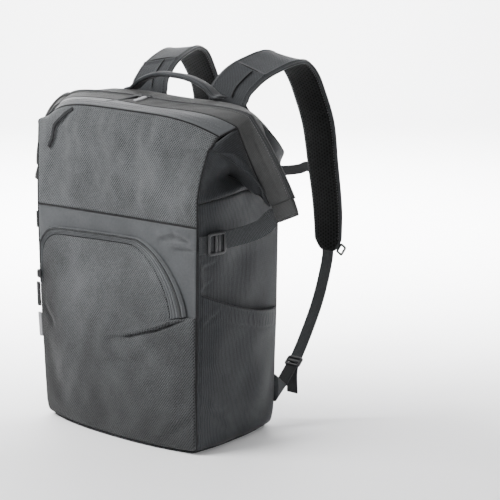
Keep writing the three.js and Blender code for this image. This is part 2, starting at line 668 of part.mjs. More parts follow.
const STRAP = strapStations();
const STRAP_END = STRAP.at(-1).at;

// Strap hardware below the pad: webbing, ladder lock, tail, lower webbing and its wing
const LOCK_LENGTH = 17;
const LOCK_THICKNESS = 3;
const LOCK_MARGIN = 3.5;
const WING_X = HALF_WIDTH * 0.93;
const WING_REACH = 19;
const wingFoot = (z) => backY(WING_X, z) + LAY;
const WING_TIP = V(WING_X, wingFoot(ANCHOR_HEIGHT) + WING_REACH, ANCHOR_HEIGHT);
const LOWER_REACH = 30;
const LOWER_RISE = 27;
const LOWER_RUN = V(0, LOWER_REACH, LOWER_RISE);
const LOCK = WING_TIP.clone().add(LOWER_RUN);
const LOCK_ALONG = LOWER_RUN.clone().normalize();
const LOCK_OUT = V(0, -LOCK_ALONG.z, LOCK_ALONG.y);
const ACROSS = V(1, 0, 0);
const lockEnd = (sign) => LOCK.clone().addScaledVector(LOCK_ALONG, sign * (LOCK_LENGTH / 2 + CLEARANCE));
function upperWebbing(hand) {
  const start = STRAP_END.clone().add(V(0, 0, -2 * CLEARANCE));
  const end = lockEnd(1);
  const sag = start.clone().lerp(end, 0.45).add(V(0, 12, -6));
  const points = [start, start.clone().add(V(0, 0, -8)), sag, end.clone().addScaledVector(LOCK_ALONG, 9), end];
  return handed(webbing(points, 14, WEBBING_WIDTH, ACROSS, ACROSS), hand);
}
function ladderLock(hand) {
  const wide = WEBBING_WIDTH + 2 * LOCK_MARGIN;
  const slots = [[-LOCK_LENGTH * 0.24, 3.5, WEBBING_WIDTH], [LOCK_LENGTH * 0.24, 3.5, WEBBING_WIDTH + 1]];
  const frame = slottedFrame(LOCK_LENGTH, wide, LOCK_THICKNESS, slots);
  return turned(laid(frame, LOCK.clone(), LOCK_ALONG, LOCK_OUT), hand);
}
function webbingTail(hand) {
  const drop = LOCK_THICKNESS / 2 + LAY + WEBBING_THICKNESS / 2;
  const start = LOCK.clone().addScaledVector(LOCK_OUT, -drop).addScaledVector(LOCK_ALONG, 4);
  const bend = start.clone().addScaledVector(LOCK_ALONG, -8);
  const points = [start, bend, bend.clone().add(V(0, -3, -12)), bend.clone().add(V(0, -2, -TAIL_LENGTH))];
  return handed(webbing(points, 8, WEBBING_WIDTH - 1, ACROSS, ACROSS), hand);
}
function lowerWebbing(hand) {
  const points = [WING_TIP.clone().addScaledVector(LOCK_ALONG, CLEARANCE + 1), lockEnd(-1)];
  return handed(webbing(points, 2, WEBBING_WIDTH, ACROSS, ACROSS), hand);
}
function strapWing(hand) {
  const [low, high] = [ANCHOR_HEIGHT - ANCHOR_WIDTH / 2, ANCHOR_HEIGHT + ANCHOR_WIDTH / 2];
  const tip = WEBBING_THICKNESS * 1.5;
  const outline = new THREE.Shape([
    new THREE.Vector2(wingFoot(low), low),
    new THREE.Vector2(WING_TIP.y, ANCHOR_HEIGHT - tip),
    new THREE.Vector2(WING_TIP.y, ANCHOR_HEIGHT + tip),
    new THREE.Vector2(wingFoot(high), high),
  ]);
  const wing = new THREE.ExtrudeGeometry(outline, { depth: WEBBING_WIDTH, bevelEnabled: false });
  const upright = new THREE.Matrix4().makeBasis(V(0, 1, 0), V(0, 0, 1), V(1, 0, 0));
  return turned(wing.applyMatrix4(upright).translate(WING_X - WEBBING_WIDTH / 2, 0, 0), hand);
}

// The small loop at the strap's lower outer corner, laid along the edge that slants in to its end
const LOOP = { length: 17, width: 12, thickness: 2.5, slot: 7 };
function strapLoop(hand) {
  const edge = ({ at, width }) => V(at.x + width / 2, at.y, at.z);
  const [above, below] = [edge(STRAP.at(-3)), edge(STRAP.at(-1))];
  const along = above.clone().sub(below).setY(0).normalize();
  const out = V(along.z, 0, -along.x);
  const frame = slottedFrame(LOOP.length, LOOP.width, LOOP.thickness, [[0, LOOP.length - 7, LOOP.slot]]);
  const at = above.lerp(below, 0.5).addScaledVector(out, 2 * CLEARANCE + LOOP.width / 2);
  return turned(laid(frame, at, along, V(0, -1, 0)), hand);
}

// The chest strap between the shoulder straps, fastened and slack
const STERNUM_BUCKLE = { length: 34, width: 22, thickness: 7 };
function strapAt(z) {
  const i = STRAP.findIndex((station, k) => k > STRAP.length / 2 && station.at.z <= z);
  const [a, b] = [STRAP[i - 1], STRAP[i]];
  const t = (a.at.z - z) / (a.at.z - b.at.z);
  return { at: a.at.clone().lerp(b.at, t), width: a.width + (b.width - a.width) * t };
}
const STERNUM_Y = strapAt(STERNUM_HEIGHT).at.y;
function sternumHalf(hand) {
  const strap = strapAt(STERNUM_HEIGHT);
  const edge = strap.at.x - strap.width / 2 - LAY;
  const near = STERNUM_BUCKLE.length / 2 + CLEARANCE;
  const z = STERNUM_HEIGHT;
  const points = [
    V(edge, STERNUM_Y, z),
    V(edge - 5, STERNUM_Y, z),
    V(edge * 0.8 + near * 0.2, STERNUM_Y - 1, z - STERNUM_SAG * 0.4),
    V(edge * 0.4 + near * 0.6, STERNUM_Y - 5, z - STERNUM_SAG * 0.9),
    V(near, STERNUM_Y - 6, z - STERNUM_SAG),
  ];
  return handed(webbing(points, 8, STERNUM_WEBBING, V(0, 0, 1), V(0, 0, 1)), hand);
}
function sternumBuckle() {
  const { length, width, thickness } = STERNUM_BUCKLE;
  const block = slottedFrame(length, width, thickness, []);
  return laid(block, V(0, STERNUM_Y - 6, STERNUM_HEIGHT - STERNUM_SAG), ACROSS, V(0, 1, 0));
}

// The grab handle: a padded band that arches over the top's back edge
function grabHandle() {
  const lift = HANDLE_THICKNESS * 0.53 + LAY;
  const seat = (x) => acrossPoint(CROWN_ROW, x / xOf(rowAt(CROWN_ROW).backX), 1).z + lift;
  const end = HANDLE_SPAN / 2;
  const rises = [[-1, 0], [-0.9, 0.02], [-0.66, 0.53], [-0.33, 0.87], [0, 0.98]];
  const half = rises.map(([share, rise]) => [share * end, rise * HANDLE_RISE]);
  const all = [...half, ...half.slice(0, -1).reverse().map(([x, rise]) => [-x, rise])];
  const points = all.map(([x, rise]) => V(x, HANDLE_PLACE, seat(Math.sign(x) * end) + rise));
  const stations = smoothPath(points, 20).map((at) => ({
    at, side: V(0, 1, 0), width: HANDLE_WIDTH, thickness: HANDLE_THICKNESS,
  }));
  return ribbon(stations, true);
}

// Zip sliders, and the grips that hang from them. A slider rides on its zip's face.
const SLIDER = { length: 13, width: 8, thickness: 4 };
const PULL = { width: 6, thickness: 2.4 };
const SLIDER_SPACING = 16;
const ZIP_MEETING = -20;
function slider(at, along, out) {
  const seated = at.clone().addScaledVector(out, CLEARANCE + SLIDER.thickness / 2);
  return laid(slottedFrame(SLIDER.length, SLIDER.width, SLIDER.thickness, []), seated, along, out);
}
const pull = (points, side) => webbing(points, 8, PULL.width, side, side, PULL.thickness);
const rimTop = (x) => acrossPoint(RIM_ROW, x / xOf(rowAt(RIM_ROW).cornerX), -1).setY(0);
function zipSlider(hand) {
  const x = ZIP_MEETING + (hand * SLIDER_SPACING) / 2;
  return slider(rimTop(x).add(V(0, 0, 0.4)), ACROSS, V(0, 0, 1));
}

// A grip on the top, from its slider forward over the strip, leaning to the left
const TAPE_PULL = { reach: 42, spread: 22 };
const MOULDED_PULL = { reach: 18, spread: 6 };
function zipPull(hand, { reach, spread }) {
  const from = rimTop(ZIP_MEETING + (hand * SLIDER_SPACING) / 2);
  const lift = CLEARANCE + PULL.thickness / 2;
  const place = (share, rise) => {
    const [x, y] = [from.x - spread * share, -SLIDER.width / 2 - PULL.thickness - reach * share];
    return V(x, y, topZ(x, y) + lift + rise);
  };
  return pull([place(0, 2), place(0.3, 1), place(0.65, 0.3), place(1, 0)], ACROSS);
}

// How high the front half of the top is over a place
function topZ(x, y) {
  let [low, high] = [BROW_ROW, RIM_ROW];
  for (let k = 0; k < 30; k++) {
    const mid = (low + high) / 2;
    if (acrossPoint(mid, x / xOf(rowAt(mid).cornerX), -1).y < y) low = mid;
    else high = mid;
  }
  return acrossPoint(low, x / xOf(rowAt(low).cornerX), -1).z;
}

// The long grip that hangs from the top's front seam near the left peak
const LONG_PULL_X = -HALF_WIDTH * 0.59;
const LONG_PULL = [
  { sideways: 0, level: 1.925 },
  { sideways: -0.1, level: 1.86 },
  { sideways: -0.19, level: 1.76 },
  { sideways: -0.23, level: 1.64 },
  { sideways: -0.27, level: 1.55 },
];
function longPull() {
  const points = LONG_PULL.map(({ sideways, level }) => {
    const x = LONG_PULL_X + sideways * HALF_WIDTH;
    const z = zOf(level);
    return V(x, upperY(x, z) - PULL.thickness - CLEARANCE, z);
  });
  return pull(points, ACROSS);
}

// How far forward the upper front reaches at a place
function upperY(x, z) {
  let [low, high] = [SEAM_ROW, BROW_ROW];
  for (let k = 0; k < 30; k++) {
    const mid = (low + high) / 2;
    if (acrossPoint(mid, x / xOf(rowAt(mid).cornerX), -1).z < z) low = mid;
    else high = mid;
  }
  return acrossPoint(low, x / xOf(rowAt(low).cornerX), -1).y;
}

// The pocket zip's slider at the band's left end, and the two grips under it
const POCKET_GRIPS = [[4, 36], [48, 80]];
function pocketSlider() {
  const x = -HALF_WIDTH + ARCH_MARGIN + BAND_AT_LEFT / 2;
  const z = BAND_LEFT_END + SLIDER.length;
  return slider(pocketPoint(x, z, POCKET_BAND + CLEARANCE), V(0, 0, 1), V(0, -1, 0));
}
function pocketGrip([from, to]) {
  const place = (drop) => {
    const z = BAND_LEFT_END - drop;
    return V(-frontEdge(z) - CLEARANCE - PULL.width / 2, frontY(-HALF_WIDTH, z), z);
  };
  return pull([place(from), place((from + to) / 2), place(to)], ACROSS);
}

const parts = [];
const cloth = (color, roughness) => ({ color, roughness, metalness: 0 });
const FINISH = {
  textured: cloth(0x55595c, 0.85),
  smooth: cloth(0x4a4e51, 0.75),
  dark: cloth(0x3a3d40, 0.8),
  mesh: cloth(0x17181a, 0.95),
  webbing: cloth(0x35383a, 0.8),
  plastic: cloth(0x232527, 0.5),
};
function add(name, geometry, finish) {
  const mesh = new THREE.Mesh(geometry, new THREE.MeshStandardMaterial(FINISH[finish]));
  mesh.name = name;
  parts.push(mesh);
}

add("base_panel", basePanel(), "dark");
add("front_panel", panel(0, SEAM_ROW, 0, FRONT_RIGHT), "smooth");
add("upper_front_panel", panel(SEAM_ROW, BROW_ROW, 0, FRONT_RIGHT), "textured");
add("top_front_strip", panel(BROW_ROW, CROWN_ROW, 0, FRONT_RIGHT), "smooth");
const ear = { inset: EAR_SEAM_GAP, wall: EAR_WALL };
add("top_facing_front", panel(CROWN_ROW, RIM_ROW, MIDDLE_LEFT + 1 - RING, MIDDLE_RIGHT, ear), "smooth");
add("top_facing_back", panel(CROWN_ROW, RIM_ROW, MIDDLE_RIGHT + 1, MIDDLE_LEFT, ear), "smooth");
add("top_back_strip", panel(BROW_ROW, CROWN_ROW, BACK_RIGHT, BACK_LEFT), "smooth");
add("back_panel", panel(0, BROW_ROW, BACK_RIGHT, BACK_LEFT, { padding: BACK_PADDING }), "mesh");
add("side_panel_R", panel(0, SHOULDER_ROW, FRONT_RIGHT, BACK_RIGHT), "dark");
add("side_panel_L", panel(0, SHOULDER_ROW, BACK_LEFT, RING), "dark");
add("gusset_R", panel(SHOULDER_ROW, CROWN_ROW, FRONT_RIGHT, BACK_RIGHT, ear), "dark");
add("gusset_L", panel(SHOULDER_ROW, CROWN_ROW, BACK_LEFT, RING, ear), "dark");
add("front_pocket", frontPocket(), "textured");
add("pocket_zip_band", pocketBand(), "webbing");
add("main_zip", mainZip(), "webbing");
add("grab_handle", grabHandle(), "dark");
add("sternum_buckle", sternumBuckle(), "plastic");
add("zip_slider_left", zipSlider(-1), "plastic");
add("zip_slider_right", zipSlider(1), "plastic");
add("zip_pull_left", zipPull(-1, TAPE_PULL), "webbing");
add("zip_pull_right", zipPull(1, MOULDED_PULL), "plastic");
add("upper_pull", longPull(), "webbing");
add("pocket_slider", pocketSlider(), "plastic");
add("pocket_pull_upper", pocketGrip(POCKET_GRIPS[0]), "webbing");
add("pocket_pull_lower", pocketGrip(POCKET_GRIPS[1]), "plastic");
for (const [hand, letter] of [[1, "R"], [-1, "L"]]) {
  add("side_pocket_" + letter, sidePocket(hand), "dark");
  add("ear_tab_" + letter, earTab(hand), "dark");
  add("side_strap_" + letter, sideStrap(hand), "webbing");
  add("side_buckle_" + letter, sideBuckle(hand), "plastic");
  add("shoulder_strap_" + letter, handed(ribbon(STRAP, true), hand), "mesh");
  add("strap_webbing_" + letter, upperWebbing(hand), "webbing");
  add("ladder_lock_" + letter, ladderLock(hand), "plastic");
  add("webbing_tail_" + letter, webbingTail(hand), "webbing");
  add("lower_webbing_" + letter, lowerWebbing(hand), "webbing");
  add("strap_wing_" + letter, strapWing(hand), "dark");
  add("strap_loop_" + letter, strapLoop(hand), "plastic");
  add("sternum_strap_" + letter, sternumHalf(hand), "webbing");
}

const backpack = new THREE.Group();
backpack.add(...parts);
export default backpack;
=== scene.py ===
"""Looks of the camera backpack, laid out as a Blender add-on and run as a script.

The frame holds the bag's solids. Here each soft one gets its cloth, folds, seams and finish.
Shapes are worked out in millimetres and stored in metres.
"""

import json
import math

import bmesh
import bpy
import numpy as np
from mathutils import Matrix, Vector

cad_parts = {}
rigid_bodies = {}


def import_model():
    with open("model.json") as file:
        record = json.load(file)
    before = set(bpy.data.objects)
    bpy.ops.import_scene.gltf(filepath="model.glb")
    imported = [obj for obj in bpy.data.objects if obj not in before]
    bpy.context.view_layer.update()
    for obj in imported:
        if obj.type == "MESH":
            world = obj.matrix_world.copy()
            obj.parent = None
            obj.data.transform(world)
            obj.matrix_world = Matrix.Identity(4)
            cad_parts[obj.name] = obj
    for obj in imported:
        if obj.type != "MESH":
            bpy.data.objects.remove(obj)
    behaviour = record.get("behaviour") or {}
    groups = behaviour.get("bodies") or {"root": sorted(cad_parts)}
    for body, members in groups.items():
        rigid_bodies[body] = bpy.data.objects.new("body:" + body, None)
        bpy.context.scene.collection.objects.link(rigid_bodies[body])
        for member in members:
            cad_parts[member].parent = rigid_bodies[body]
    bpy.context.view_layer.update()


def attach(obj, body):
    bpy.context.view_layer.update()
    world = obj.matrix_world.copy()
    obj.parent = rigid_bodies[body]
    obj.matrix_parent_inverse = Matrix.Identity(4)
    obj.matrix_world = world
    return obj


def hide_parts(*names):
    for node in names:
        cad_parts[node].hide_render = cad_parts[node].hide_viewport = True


bl_info = {
    "name": "Camera Backpack",
    "version": (1, 0, 0),
    "blender": (4, 5, 0),
    "location": "View3D > Sidebar > Backpack",
    "description": "Dresses the camera backpack in cloth, air mesh, webbing and moulded plastic",
    "category": "Add Mesh",
}

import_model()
MM = 0.001

# ---------------------------------------------------------------- sizes of the bag

HALF_WIDTH = 150.0
HALF_DEPTH = 87.5
FLOOR = 2.8
SEAM_HEIGHT = 313.0
TOP_RISE = 150.0
EAR_REACH = 91.0
EAR_GAP = 5.0
TOP_LEAN = 13.0
LAY = 0.6
SIDES = {"R": 1, "L": -1}

WALL_ROWS = np.array([
    # level, midY, cornerX, cornerY, sideX, backY
    [0.0, 0.96, 0.9, 0.88, 0.94, 0.87],
    [0.02, 0.989, 0.947, 0.943, 0.98, 0.937],
    [0.068, 1.006, 0.963, 0.966, 0.997, 0.971],
    [0.152, 1.011, 0.967, 0.977, 1.005, 0.989],
    [0.313, 1.017, 0.973, 0.989, 1.022, 0.994],
    [0.507, 1.011, 0.987, 1.0, 1.033, 1.0],
    [0.716, 1.0, 0.995, 1.006, 1.044, 1.0],
    [0.894, 0.983, 1.002, 1.006, 1.055, 1.0],
    [1.0, 0.966, 1.005, 1.0, 1.071, 1.0],
])
KEYS = ["midY", "midL", "cornerX", "cornerY", "cornerL", "quarterX", "quarterY", "quarterL",
        "sideX", "sideL", "backX", "backY", "backL", "backMidY", "backMidL", "lean", "power"]
TOP_ROWS = [
    [0.966, 1.207, 1.002, 0.994, 1.207, 1.11, 0.503, 1.24, 1.121, 1.267, 1.0, 1.0, 1.207, 1.0, 1.207, 0, 2],
    [0.966, 1.287, 1.004, 0.983, 1.273, 1.075, 0.48, 1.3, 1.09, 1.335, 1.0, 0.99, 1.273, 1.0, 1.28, 0, 2],
    [0.971, 1.48, 1.04, 0.93, 1.47, 0.97, 0.3, 1.425, 0.88, 1.39, 1.03, 0.965, 1.4, 0.985, 1.45, 0.2, 2],
    [0.971, 1.58, 1.095, 0.85, 1.69, 1.19, 0.37, 1.545, 1.09, 1.327, 1.08, 0.94, 1.5, 0.965, 1.56, 0.6, 2],
    [0.95, 1.743, 1.11, 0.811, 1.743, 1.49, 0.285, 1.445, 1.58, 1.158, 1.15, 0.914, 1.63, 0.92, 1.74, 1, 3],
    [0.8, 1.955, 1.077, 0.56, 1.8, 1.47, 0.258, 1.475, 1.6, 1.1555, 1.1, 0.62, 1.79, 0.72, 1.93, 0.5, 4],
    [0.4, 1.975, 1.176, 0.274, 1.867, 1.43, 0.229, 1.513, 1.62, 1.156, 1.16, 0.33, 1.88, 0.4, 2.02, 0.35, 6],
    [0.0, 2.0, 1.22, 0.0, 1.95, 1.626, 0.0, 1.633, 2.0, 1.253, 1.22, 0.0, 1.95, 0.0, 2.0, 0.3, 8],
]
SEAM, SHOULDER, LIP, TUCK, UNDER, PEAK, BROW, CROWN, RIM = range(8, 17)

# How sharply the cloth is creased along a row: at the front, round the sides and at the back
CREASES = {LIP: (0, 0.5, 0), PEAK: (0.1, 0.7, 0.1), BROW: (0.6, 0.85, 0.5), CROWN: (0.4, 0.85, 0.4),
           RIM: (0, 0, 0)}


def wall_table():
    """The wall rows with the same columns as the top's: sides fullest in the middle, one level all round."""
    level, mid, corner_x, corner_y, side, back = WALL_ROWS.T
    quarter = corner_x + (side - corner_x) * 0.85
    flat = np.zeros_like(level)
    return np.stack([mid, level, corner_x, corner_y, level, quarter, corner_y / 2, level, side, level,
                     corner_x - 0.01, back, level, back, level, flat, flat + 2], axis=1)


TABLE = np.vstack([wall_table(), np.array(TOP_ROWS, float)])


def crease_table():
    """A weight from 0, smooth, to 1, folded, for every row and column of the body table."""
    made = np.zeros_like(TABLE)
    for row, (front, side, back) in CREASES.items():
        made[row, 0:5] = front
        made[row, 5:10] = side
        made[row, 10:15] = back
    return made


CREASE = crease_table()

# ---------------------------------------------------------------- the body's surface


def rows_at(v):
    """Each column at row positions v: a cubic Hermite curve through its rows, whose slope at a row is
    the mean of its two neighbours' where the cloth is smooth and one-sided where it is creased."""
    last = len(TABLE) - 1
    i = np.clip(np.floor(v).astype(int), 0, last - 1)
    t = (v - i)[..., None]
    a, b, c, d = (TABLE[np.clip(i + k, 0, last)] for k in (-1, 0, 1, 2))
    sharp_b, sharp_c = CREASE[i], CREASE[i + 1]
    out = (c - a) / 2 * (1 - sharp_b) + (c - b) * sharp_b
    into = (d - b) / 2 * (1 - sharp_c) + (c - b) * sharp_c
    made = (b * (2 * t**3 - 3 * t**2 + 1) + out * (t**3 - 2 * t**2 + t)
            + c * (3 * t**2 - 2 * t**3) + into * (t**3 - t**2))
    return {key: made[..., n] for n, key in enumerate(KEYS)}


def x_of(share):
    """Sideways place of a share: up to 1 of half the bag's width, beyond it of the ears' reach."""
    return np.where(share <= 1, share * HALF_WIDTH, HALF_WIDTH + (share - 1) * EAR_REACH)


def y_of(share):
    """Place forward or back of a share of half the bag's depth, never less than the ears' gap."""
    return np.maximum(share * HALF_DEPTH, EAR_GAP)


def z_of(level):
    """Height of a level: 0 is the floor, 1 the seam, 2 the top."""
    return np.where(level <= 1, FLOOR + level * (SEAM_HEIGHT - FLOOR), SEAM_HEIGHT + (level - 1) * TOP_RISE)


def across(v, a, facing):
    """Front (facing -1) or back (1) at row v, a from -1 to 1: the middle stands out by 1 - |a|^power."""
    r = rows_at(v)
    keys = ("cornerX", "cornerY", "cornerL", "midY", "midL") if facing < 0 else (
        "backX", "backY", "backL", "backMidY", "backMidL")
    cx, cy, cl, my, ml = (r[key] for key in keys)
    inner = 1 - np.abs(a) ** r["power"]
    x = a * x_of(cx)
    y = y_of(cy) + (y_of(my) - y_of(cy)) * inner
    z = z_of(cl) + (z_of(ml) - z_of(cl)) * inner
    return np.stack([x, facing * y, z - r["lean"] * TOP_LEAN * x / (2 * HALF_WIDTH)], axis=-1)


def through(a, b, c, s):
    """The parabola through a, b and c at s = 0, 1/2 and 1."""
    return a * (1 - s) * (1 - 2 * s) + b * 4 * s * (1 - s) + c * s * (2 * s - 1)


def round_side(v, s, hand, facing):
    """A side from its corner (s 0) to its middle (s 1): parabolas through corner, quarter and middle."""
    r = rows_at(v)
    cx, cy, cl = (r[k] for k in (("cornerX", "cornerY", "cornerL") if facing < 0 else ("backX", "backY",
                                                                                       "backL")))
    drop = (z_of(r["backL"]) - z_of(r["cornerL"])) * (0 if facing < 0 else 0.5)
    x = hand * through(x_of(cx), x_of(r["quarterX"]), x_of(r["sideX"]), s)
    y = through(y_of(cy), y_of(r["quarterY"]), EAR_GAP, s)
    z = through(z_of(cl), z_of(r["quarterL"]) + drop, z_of(r["sideL"]), s)
    return np.stack([x, facing * y, z - r["lean"] * TOP_LEAN * x / (2 * HALF_WIDTH) * (1 - s)], axis=-1)


# Where the panels' corners lie on the way round the body
FRONT_END, RIGHT_FOLD, RIGHT_TURN, RIGHT_END = 1, 2, 2.2, 3.2
BACK_END, LEFT_FOLD, LEFT_TURN, ROUND = 4.2, 5.2, 5.4, 6.4


def body(v, q):
    """The body's surface at row v and way round q: front, right side, back, left side.
    Each stretch is its own formula, and the two side middles are bridged straight."""
    v, q = np.broadcast_arrays(np.asarray(v, float), np.asarray(q, float) % ROUND)
    made = np.zeros(v.shape + (3,))
    stretches = [
        (0, FRONT_END, lambda v, t: across(v, 2 * t - 1, -1)),
        (FRONT_END, RIGHT_FOLD, lambda v, t: round_side(v, t, 1, -1)),
        (RIGHT_FOLD, RIGHT_TURN, lambda v, t: bridge(v, t, 1)),
        (RIGHT_TURN, RIGHT_END, lambda v, t: round_side(v, 1 - t, 1, 1)),
        (RIGHT_END, BACK_END, lambda v, t: across(v, 1 - 2 * t, 1)),
        (BACK_END, LEFT_FOLD, lambda v, t: round_side(v, t, -1, 1)),
        (LEFT_FOLD, LEFT_TURN, lambda v, t: bridge(v, 1 - t, -1)),
        (LEFT_TURN, ROUND + 1e-9, lambda v, t: round_side(v, 1 - t, -1, -1)),
    ]
    for start, end, formula in stretches:
        here = (q >= start) & (q < end)
        if here.any():
            made[here] = formula(v[here], (q[here] - start) / (end - start))
    return made + left_fullness(v, q, made)


LEFT_TOP = 4.0
LEFT_EAR = 19.0


def left_fullness(v, q, place):
    """What the left has over the right's mirror image: its top lies 4 mm higher, and its ear is rounder
    by a sine of its length, up to 0.7 of 19 mm outwards and 0.78 of it up."""
    x = place[..., 0]
    high = smooth(PEAK + 0.5, CROWN, v)
    top = LEFT_TOP * smooth(50, -70, x) * smooth(-215, -150, x)
    share = np.where(q < LEFT_FOLD + 0.1, q - BACK_END, ROUND - q)
    ear = np.where((q > BACK_END) & (x < 0), np.sin(math.pi * np.clip(share, 0, 1)) ** 0.7, 0) * LEFT_EAR
    return np.stack([-0.7 * ear * high, np.zeros_like(x), (0.78 * ear + top) * high], -1)


def bridge(v, t, hand):
    """Straight across a side's middle, from its front half to its back half."""
    one = np.ones_like(v)
    front, back = round_side(v, one, hand, -1), round_side(v, one, hand, 1)
    return front + (back - front) * t[..., None]


def normal_of(surface, u, w, u_span, w_span):
    """Outward normals of surface(u, w) by central differences that stay inside its spans, so that a panel's
    normals at its seams are its own."""
    step = 2e-3
    low, high = np.clip(u - step, *u_span), np.clip(u + step, *u_span)
    left, right = np.clip(w - step, *w_span), np.clip(w + step, *w_span)
    up = surface(high, w) - surface(low, w)
    round_ = surface(u, right) - surface(u, left)
    n = np.cross(round_, up)
    return n / np.maximum(np.linalg.norm(n, axis=-1, keepdims=True), 1e-9)


def smooth(a, b, x):
    """0 up to a, 1 from b on, and a smooth step between them."""
    t = np.clip((x - a) / (b - a), 0, 1)
    return t * t * (3 - 2 * t)


def lengths(path):
    """How far along a path each of its points lies."""
    return np.concatenate([[0], np.cumsum(np.linalg.norm(np.diff(path, axis=0), axis=1))])


def at_lengths(at, length, table):
    """The columns of a table at some lengths."""
    return np.stack([np.interp(at, length, table[:, k]) for k in range(table.shape[1])], -1)


def blunt(value, power):
    """A sine or cosine drawn out towards its ends, which squares a circle's corners."""
    return np.sign(value) * np.abs(value) ** power


def hump(distance, width):
    """A smooth hump, 1 in its middle and gone about two widths away."""
    return np.exp(-((distance / width) ** 2))


def waves(points, scale, seed, count=14):
    """Smooth random heights of about -1 to 1: a sum of plane waves about scale long, in random directions."""
    rng = np.random.default_rng(seed)
    way = rng.normal(size=(count, points.shape[-1]))
    way /= np.linalg.norm(way, axis=1, keepdims=True)
    rate = 2 * math.pi / (scale * rng.uniform(0.7, 1.6, count))
    phase = rng.uniform(0, 2 * math.pi, count)
    return np.sin(points @ (way * rate[:, None]).T + phase).sum(-1) / math.sqrt(count)


def creases(u, w, table):
    """The sum of some folds in a plane. Each row is u0, w0, u1, w1, width, depth, ridge: a valley depth deep
    along that line, with a ridge above it ridge times as high, fading out at both ends."""
    total = np.zeros_like(u)
    for u0, w0, u1, w1, width, depth, ridge in table:
        du, dw = u1 - u0, w1 - w0
        length = math.hypot(du, dw)
        t = ((u - u0) * du + (w - w0) * dw) / length**2
        d = ((w - w0) * du - (u - u0) * dw) / length
        fade = smooth(0, 0.35, 0.5 - np.abs(t - 0.5) + 0.12)
        total += fade * depth * (ridge * hump(d - 1.9 * width, 1.3 * width) - hump(d, width))
    return total


# ---------------------------------------------------------------- making meshes


def new_object(name, points, faces, uv=None, mat=None, shade_smooth=True):
    """A mesh object from points in millimetres and quads or triangles, at the origin."""
    name = name.replace(" ", "_")
    mesh = bpy.data.meshes.new(name)
    mesh.from_pydata((points * MM).tolist(), [], faces.tolist() if isinstance(faces, np.ndarray) else faces)
    mesh.update()
    if uv is not None:
        layer = mesh.uv_layers.new(name="UVMap")
        corners = np.zeros(len(mesh.loops), np.int32)
        mesh.loops.foreach_get("vertex_index", corners)
        layer.data.foreach_set("uv", (uv[corners] * MM).astype(np.float32).ravel())
    if shade_smooth:
        mesh.polygons.foreach_set("use_smooth", np.ones(len(mesh.polygons), bool))
    old = bpy.data.objects.get(name)
    obj = bpy.data.objects.new(name, mesh)
    if old is not None:
        bpy.data.objects.remove(old)
        obj.name = name
    bpy.context.scene.collection.objects.link(obj)
    if mat is not None:
        mesh.materials.append(mat)
    return obj


def grid_faces(n, m, closed=False):
    """Quads of an n by m grid of points, row by row, closed along its second way if asked."""
    i, j = np.meshgrid(np.arange(n - 1), np.arange(m if closed else m - 1), indexing="ij")
    k = (j + 1) % m
    return np.stack([i * m + j, i * m + k, (i + 1) * m + k, (i + 1) * m + j], axis=-1).reshape(-1, 4)


def closed_faces(n, m):
    """Faces of a tube of n rings of m points, with one face over each end."""
    faces = grid_faces(n, m, closed=True).tolist()
    faces.append(list(range(m))[::-1])
    faces.append([(n - 1) * m + k for k in range(m)])
    return faces


def arc_uv(grid):
    """Lengths along both ways of a grid, measured on the cloth, as its flat pattern."""
    along = np.linalg.norm(np.diff(grid, axis=1), axis=-1)
    up = np.linalg.norm(np.diff(grid, axis=0), axis=-1)
    u = np.concatenate([np.zeros((grid.shape[0], 1)), np.cumsum(along, 1)], axis=1)
    w = np.concatenate([np.zeros((1, grid.shape[1])), np.cumsum(up, 0)], axis=0)
    return np.stack([u - u.mean(1, keepdims=True), w], axis=-1)


def finish_piece(obj, slot, *nodes, wall=0.0, body_name="root"):
    """Gives cloth its thickness inwards, hangs it on the bag and hides the frame's parts that it replaces."""
    if wall:
        shell = obj.modifiers.new("Cloth thickness", "SOLIDIFY")
        shell.thickness = wall * MM
        shell.offset = -1
        shell.use_even_offset = False
    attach(obj, body_name)
    if nodes:
        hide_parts(*nodes)
    return obj


def even(function, start, end, cell):
    """Parameter values from start to end that lie about cell apart along the curve function(t)."""
    t = np.linspace(start, end, 400)
    p = function(t)
    length = lengths(p)
    count = max(int(round(length[-1] / cell)), 2)
    return np.interp(np.linspace(0, length[-1], count + 1), length, t)


def rolled(distance, radius):
    """How far a panel's edge turns in at a seam: a quarter circle over its last radius millimetres."""
    d = np.clip(distance, 0, radius)
    return radius - np.sqrt(np.maximum(radius**2 - (radius - d) ** 2, 0))


def panel(name, v_span, q_span, cell, mat, relief=None, roll=(1.6, 1.6, 1.6, 1.6), v_guide=None):
    """A panel of the body between two rows and two ways round: body(v, q) + relief along the normal, with
    its low, high, left and right edges turned in by roll."""
    v_guide = (q_span[0] + q_span[1]) / 2 if v_guide is None else v_guide
    v = even(lambda t: body(t, np.full_like(t, v_guide)), *v_span, cell)
    q = even(lambda t: body(np.full_like(t, sum(v_span) / 2), t), *q_span, cell)
    v, q = np.meshgrid(v, q, indexing="ij")
    base = body(v, q)
    n = normal_of(body, v, q, v_span, q_span)
    uv = arc_uv(base)
    left = uv[..., 0] - uv[:, :1, 0]
    right = uv[:, -1:, 0] - uv[..., 0]
    low, high = uv[..., 1], uv[-1:, :, 1] - uv[..., 1]
    edge = np.minimum(np.minimum(left, right), np.minimum(low, high))
    lift = np.zeros_like(v) if relief is None else relief(v, q, base, edge)
    for distance, radius in zip((low, high, left, right), roll):
        if radius:
            lift = lift - rolled(distance, radius)
    grid = base + n * lift[..., None]
    rows, cols = v.shape
    return new_object(name, grid.reshape(-1, 3), grid_faces(rows, cols), uv.reshape(-1, 2), mat)


# ---------------------------------------------------------------- ribbons and paths


